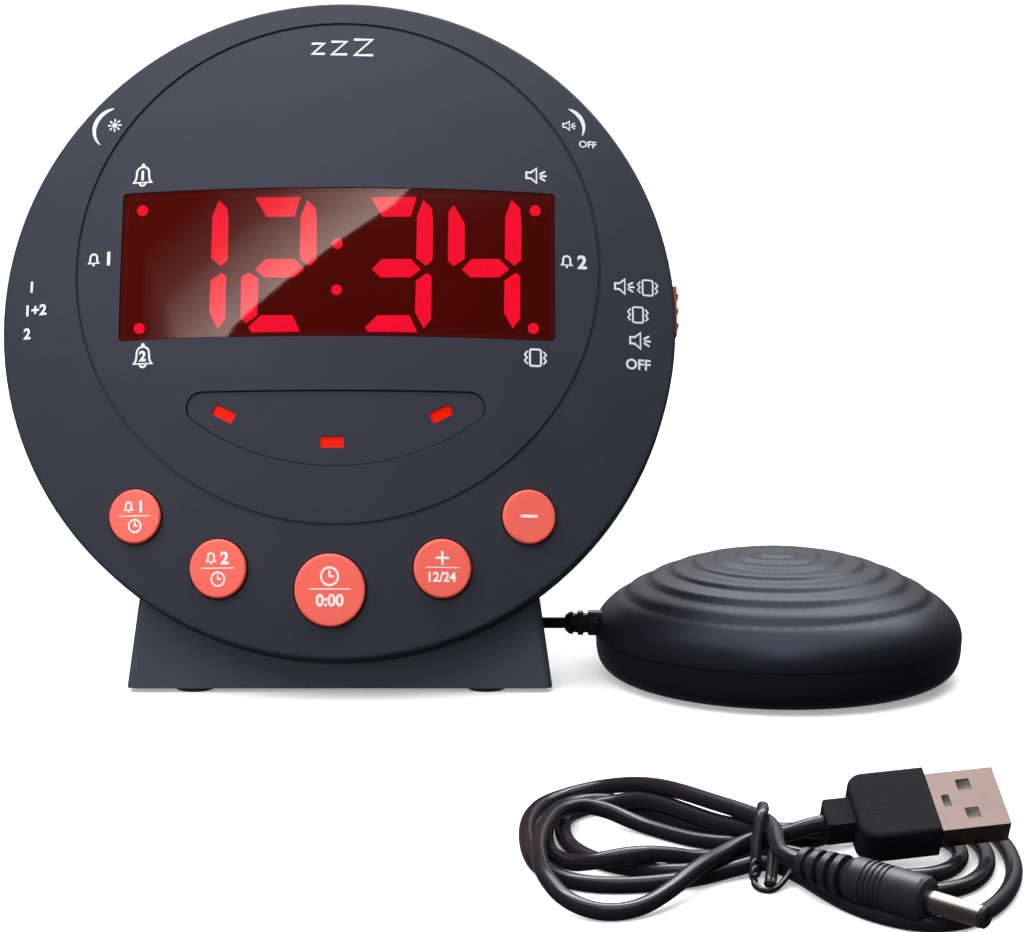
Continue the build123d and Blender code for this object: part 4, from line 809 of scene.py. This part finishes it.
# and it is the middle of the back that is bright, not its two sides
wide = nt.nodes.new("ShaderNodeMath")
wide.operation = "ABSOLUTE"
nt.links.new(split.outputs["X"], wide.inputs[0])
narrow = nt.nodes.new("ShaderNodeMapRange")
narrow.inputs["From Min"].default_value = 0.22
narrow.inputs["From Max"].default_value = 0.62
narrow.inputs["To Min"].default_value = 1.0
narrow.inputs["To Max"].default_value = 0.12
nt.links.new(wide.outputs[0], narrow.inputs["Value"])
middle = nt.nodes.new("ShaderNodeMath")
middle.operation = "MULTIPLY"
nt.links.new(side.outputs["Result"], middle.inputs[0])
nt.links.new(narrow.outputs["Result"], middle.inputs[1])
both = nt.nodes.new("ShaderNodeMix")
both.data_type = "RGBA"
nt.links.new(middle.outputs[0], both.inputs[0])
nt.links.new(front_sky, both.inputs[6])
nt.links.new(back_sky, both.inputs[7])
nt.links.new(both.outputs[2], nt.nodes["Background"].inputs["Color"])
nt.nodes["Background"].inputs["Strength"].default_value = 1.0


def area(name, where, towards, size, size_y, power, color=(1, 1, 1)):
    data = bpy.data.lights.new(name, "AREA")
    data.shape = "RECTANGLE"
    data.size, data.size_y = size, size_y
    data.energy = power
    data.color = color
    lamp = bpy.data.objects.new(name, data)
    scene.collection.objects.link(lamp)
    lamp.location = where
    lamp.rotation_euler = (Vector(towards) - Vector(where)).to_track_quat("-Z", "Y").to_euler()
    return lamp


def only_for(lamp, name, members):
    """The lamp lights those pieces alone."""
    group = bpy.data.collections.new(name)
    for obj in members:
        group.objects.link(obj)
    lamp.light_linking.receiver_collection = group


key = area("key", (-0.42, -0.66, 0.92), (0.03, -0.03, 0.06), 1.2, 0.8, 15.5)
key.visible_glossy = False
fill = area("fill", (-0.40, -1.0, 0.20), (0.02, -0.03, 0.05), 1.0, 0.4, 6.0)
fill.visible_glossy = False
area("top_box", (0.28, 0.62, 0.86), (0.05, -0.05, 0.03), 1.3, 0.5, 6.5)
only_for(area("puck_box", (0.06, -0.56, 0.68), (0.09, -0.04, 0.02), 0.32, 0.42, 1.3,
              (0.80, 0.82, 1.0)),
         "puck_only", [nodes["shaker_top_shell"], nodes["shaker_bottom_shell"]])
only_for(area("lead_box", (0.02, 0.28, 0.85), (0.08, -0.15, 0.0), 0.9, 0.15, 6.5),
         "leads_only", [power_lead, hank_tie, shaker_lead, nodes["shaker_strain_relief"],
                        nodes["dc_plug_body"]])

# A bright card above and to the left, which only the lens mirrors: its straight
# edge is the diagonal across the display.
card = bpy.data.meshes.new("light_card")
corners = [(-0.2749, -0.5556, 0.3293), (0.1571, -0.4040, 0.6379),
           (-0.4186, -0.3082, 0.5912), (-0.4501, -0.5191, 0.3241)]
card.from_pydata(corners, [], [(0, 1, 2, 3)])
layer = card.uv_layers.new(name="uv")
for loop, uv in zip(layer.data, ((0, 0), (0, 1), (1, 1), (1, 0))):
    loop.uv = uv
card_obj = bpy.data.objects.new("light_card", card)
scene.collection.objects.link(card_obj)
m = bpy.data.materials.new("light_card")
m.use_nodes = True
nt = m.node_tree
nt.nodes.clear()
out = nt.nodes.new("ShaderNodeOutputMaterial")
lit = nt.nodes.new("ShaderNodeEmission")
uv = nt.nodes.new("ShaderNodeTexCoord").outputs["UV"]
split = nt.nodes.new("ShaderNodeSeparateXYZ")
nt.links.new(uv, split.inputs[0])
fade = nt.nodes.new("ShaderNodeValToRGB")
fade.color_ramp.elements[0].position = 0.0
fade.color_ramp.elements[0].color = (1.0, 0.86, 0.80, 1)
fade.color_ramp.elements[1].position = 0.55
fade.color_ramp.elements[1].color = (0.015, 0.012, 0.010, 1)
for place, level in ((0.15, 0.52), (0.32, 0.12)):
    fade.color_ramp.elements.new(place).color = (level, level * 0.82, level * 0.75, 1)
nt.links.new(split.outputs["X"], fade.inputs["Fac"])
nt.links.new(fade.outputs["Color"], lit.inputs["Color"])
lit.inputs["Strength"].default_value = 8.0
nt.links.new(lit.outputs[0], out.inputs["Surface"])
card.materials.append(m)
for flag in ("visible_camera", "visible_diffuse", "visible_transmission",
             "visible_volume_scatter", "visible_shadow"):
    setattr(card_obj, flag, False)
lens_only = bpy.data.collections.new("lens_only")
lens_only.objects.link(nodes["display_lens"])
card_obj.light_linking.receiver_collection = lens_only

bpy.context.view_layer.update()
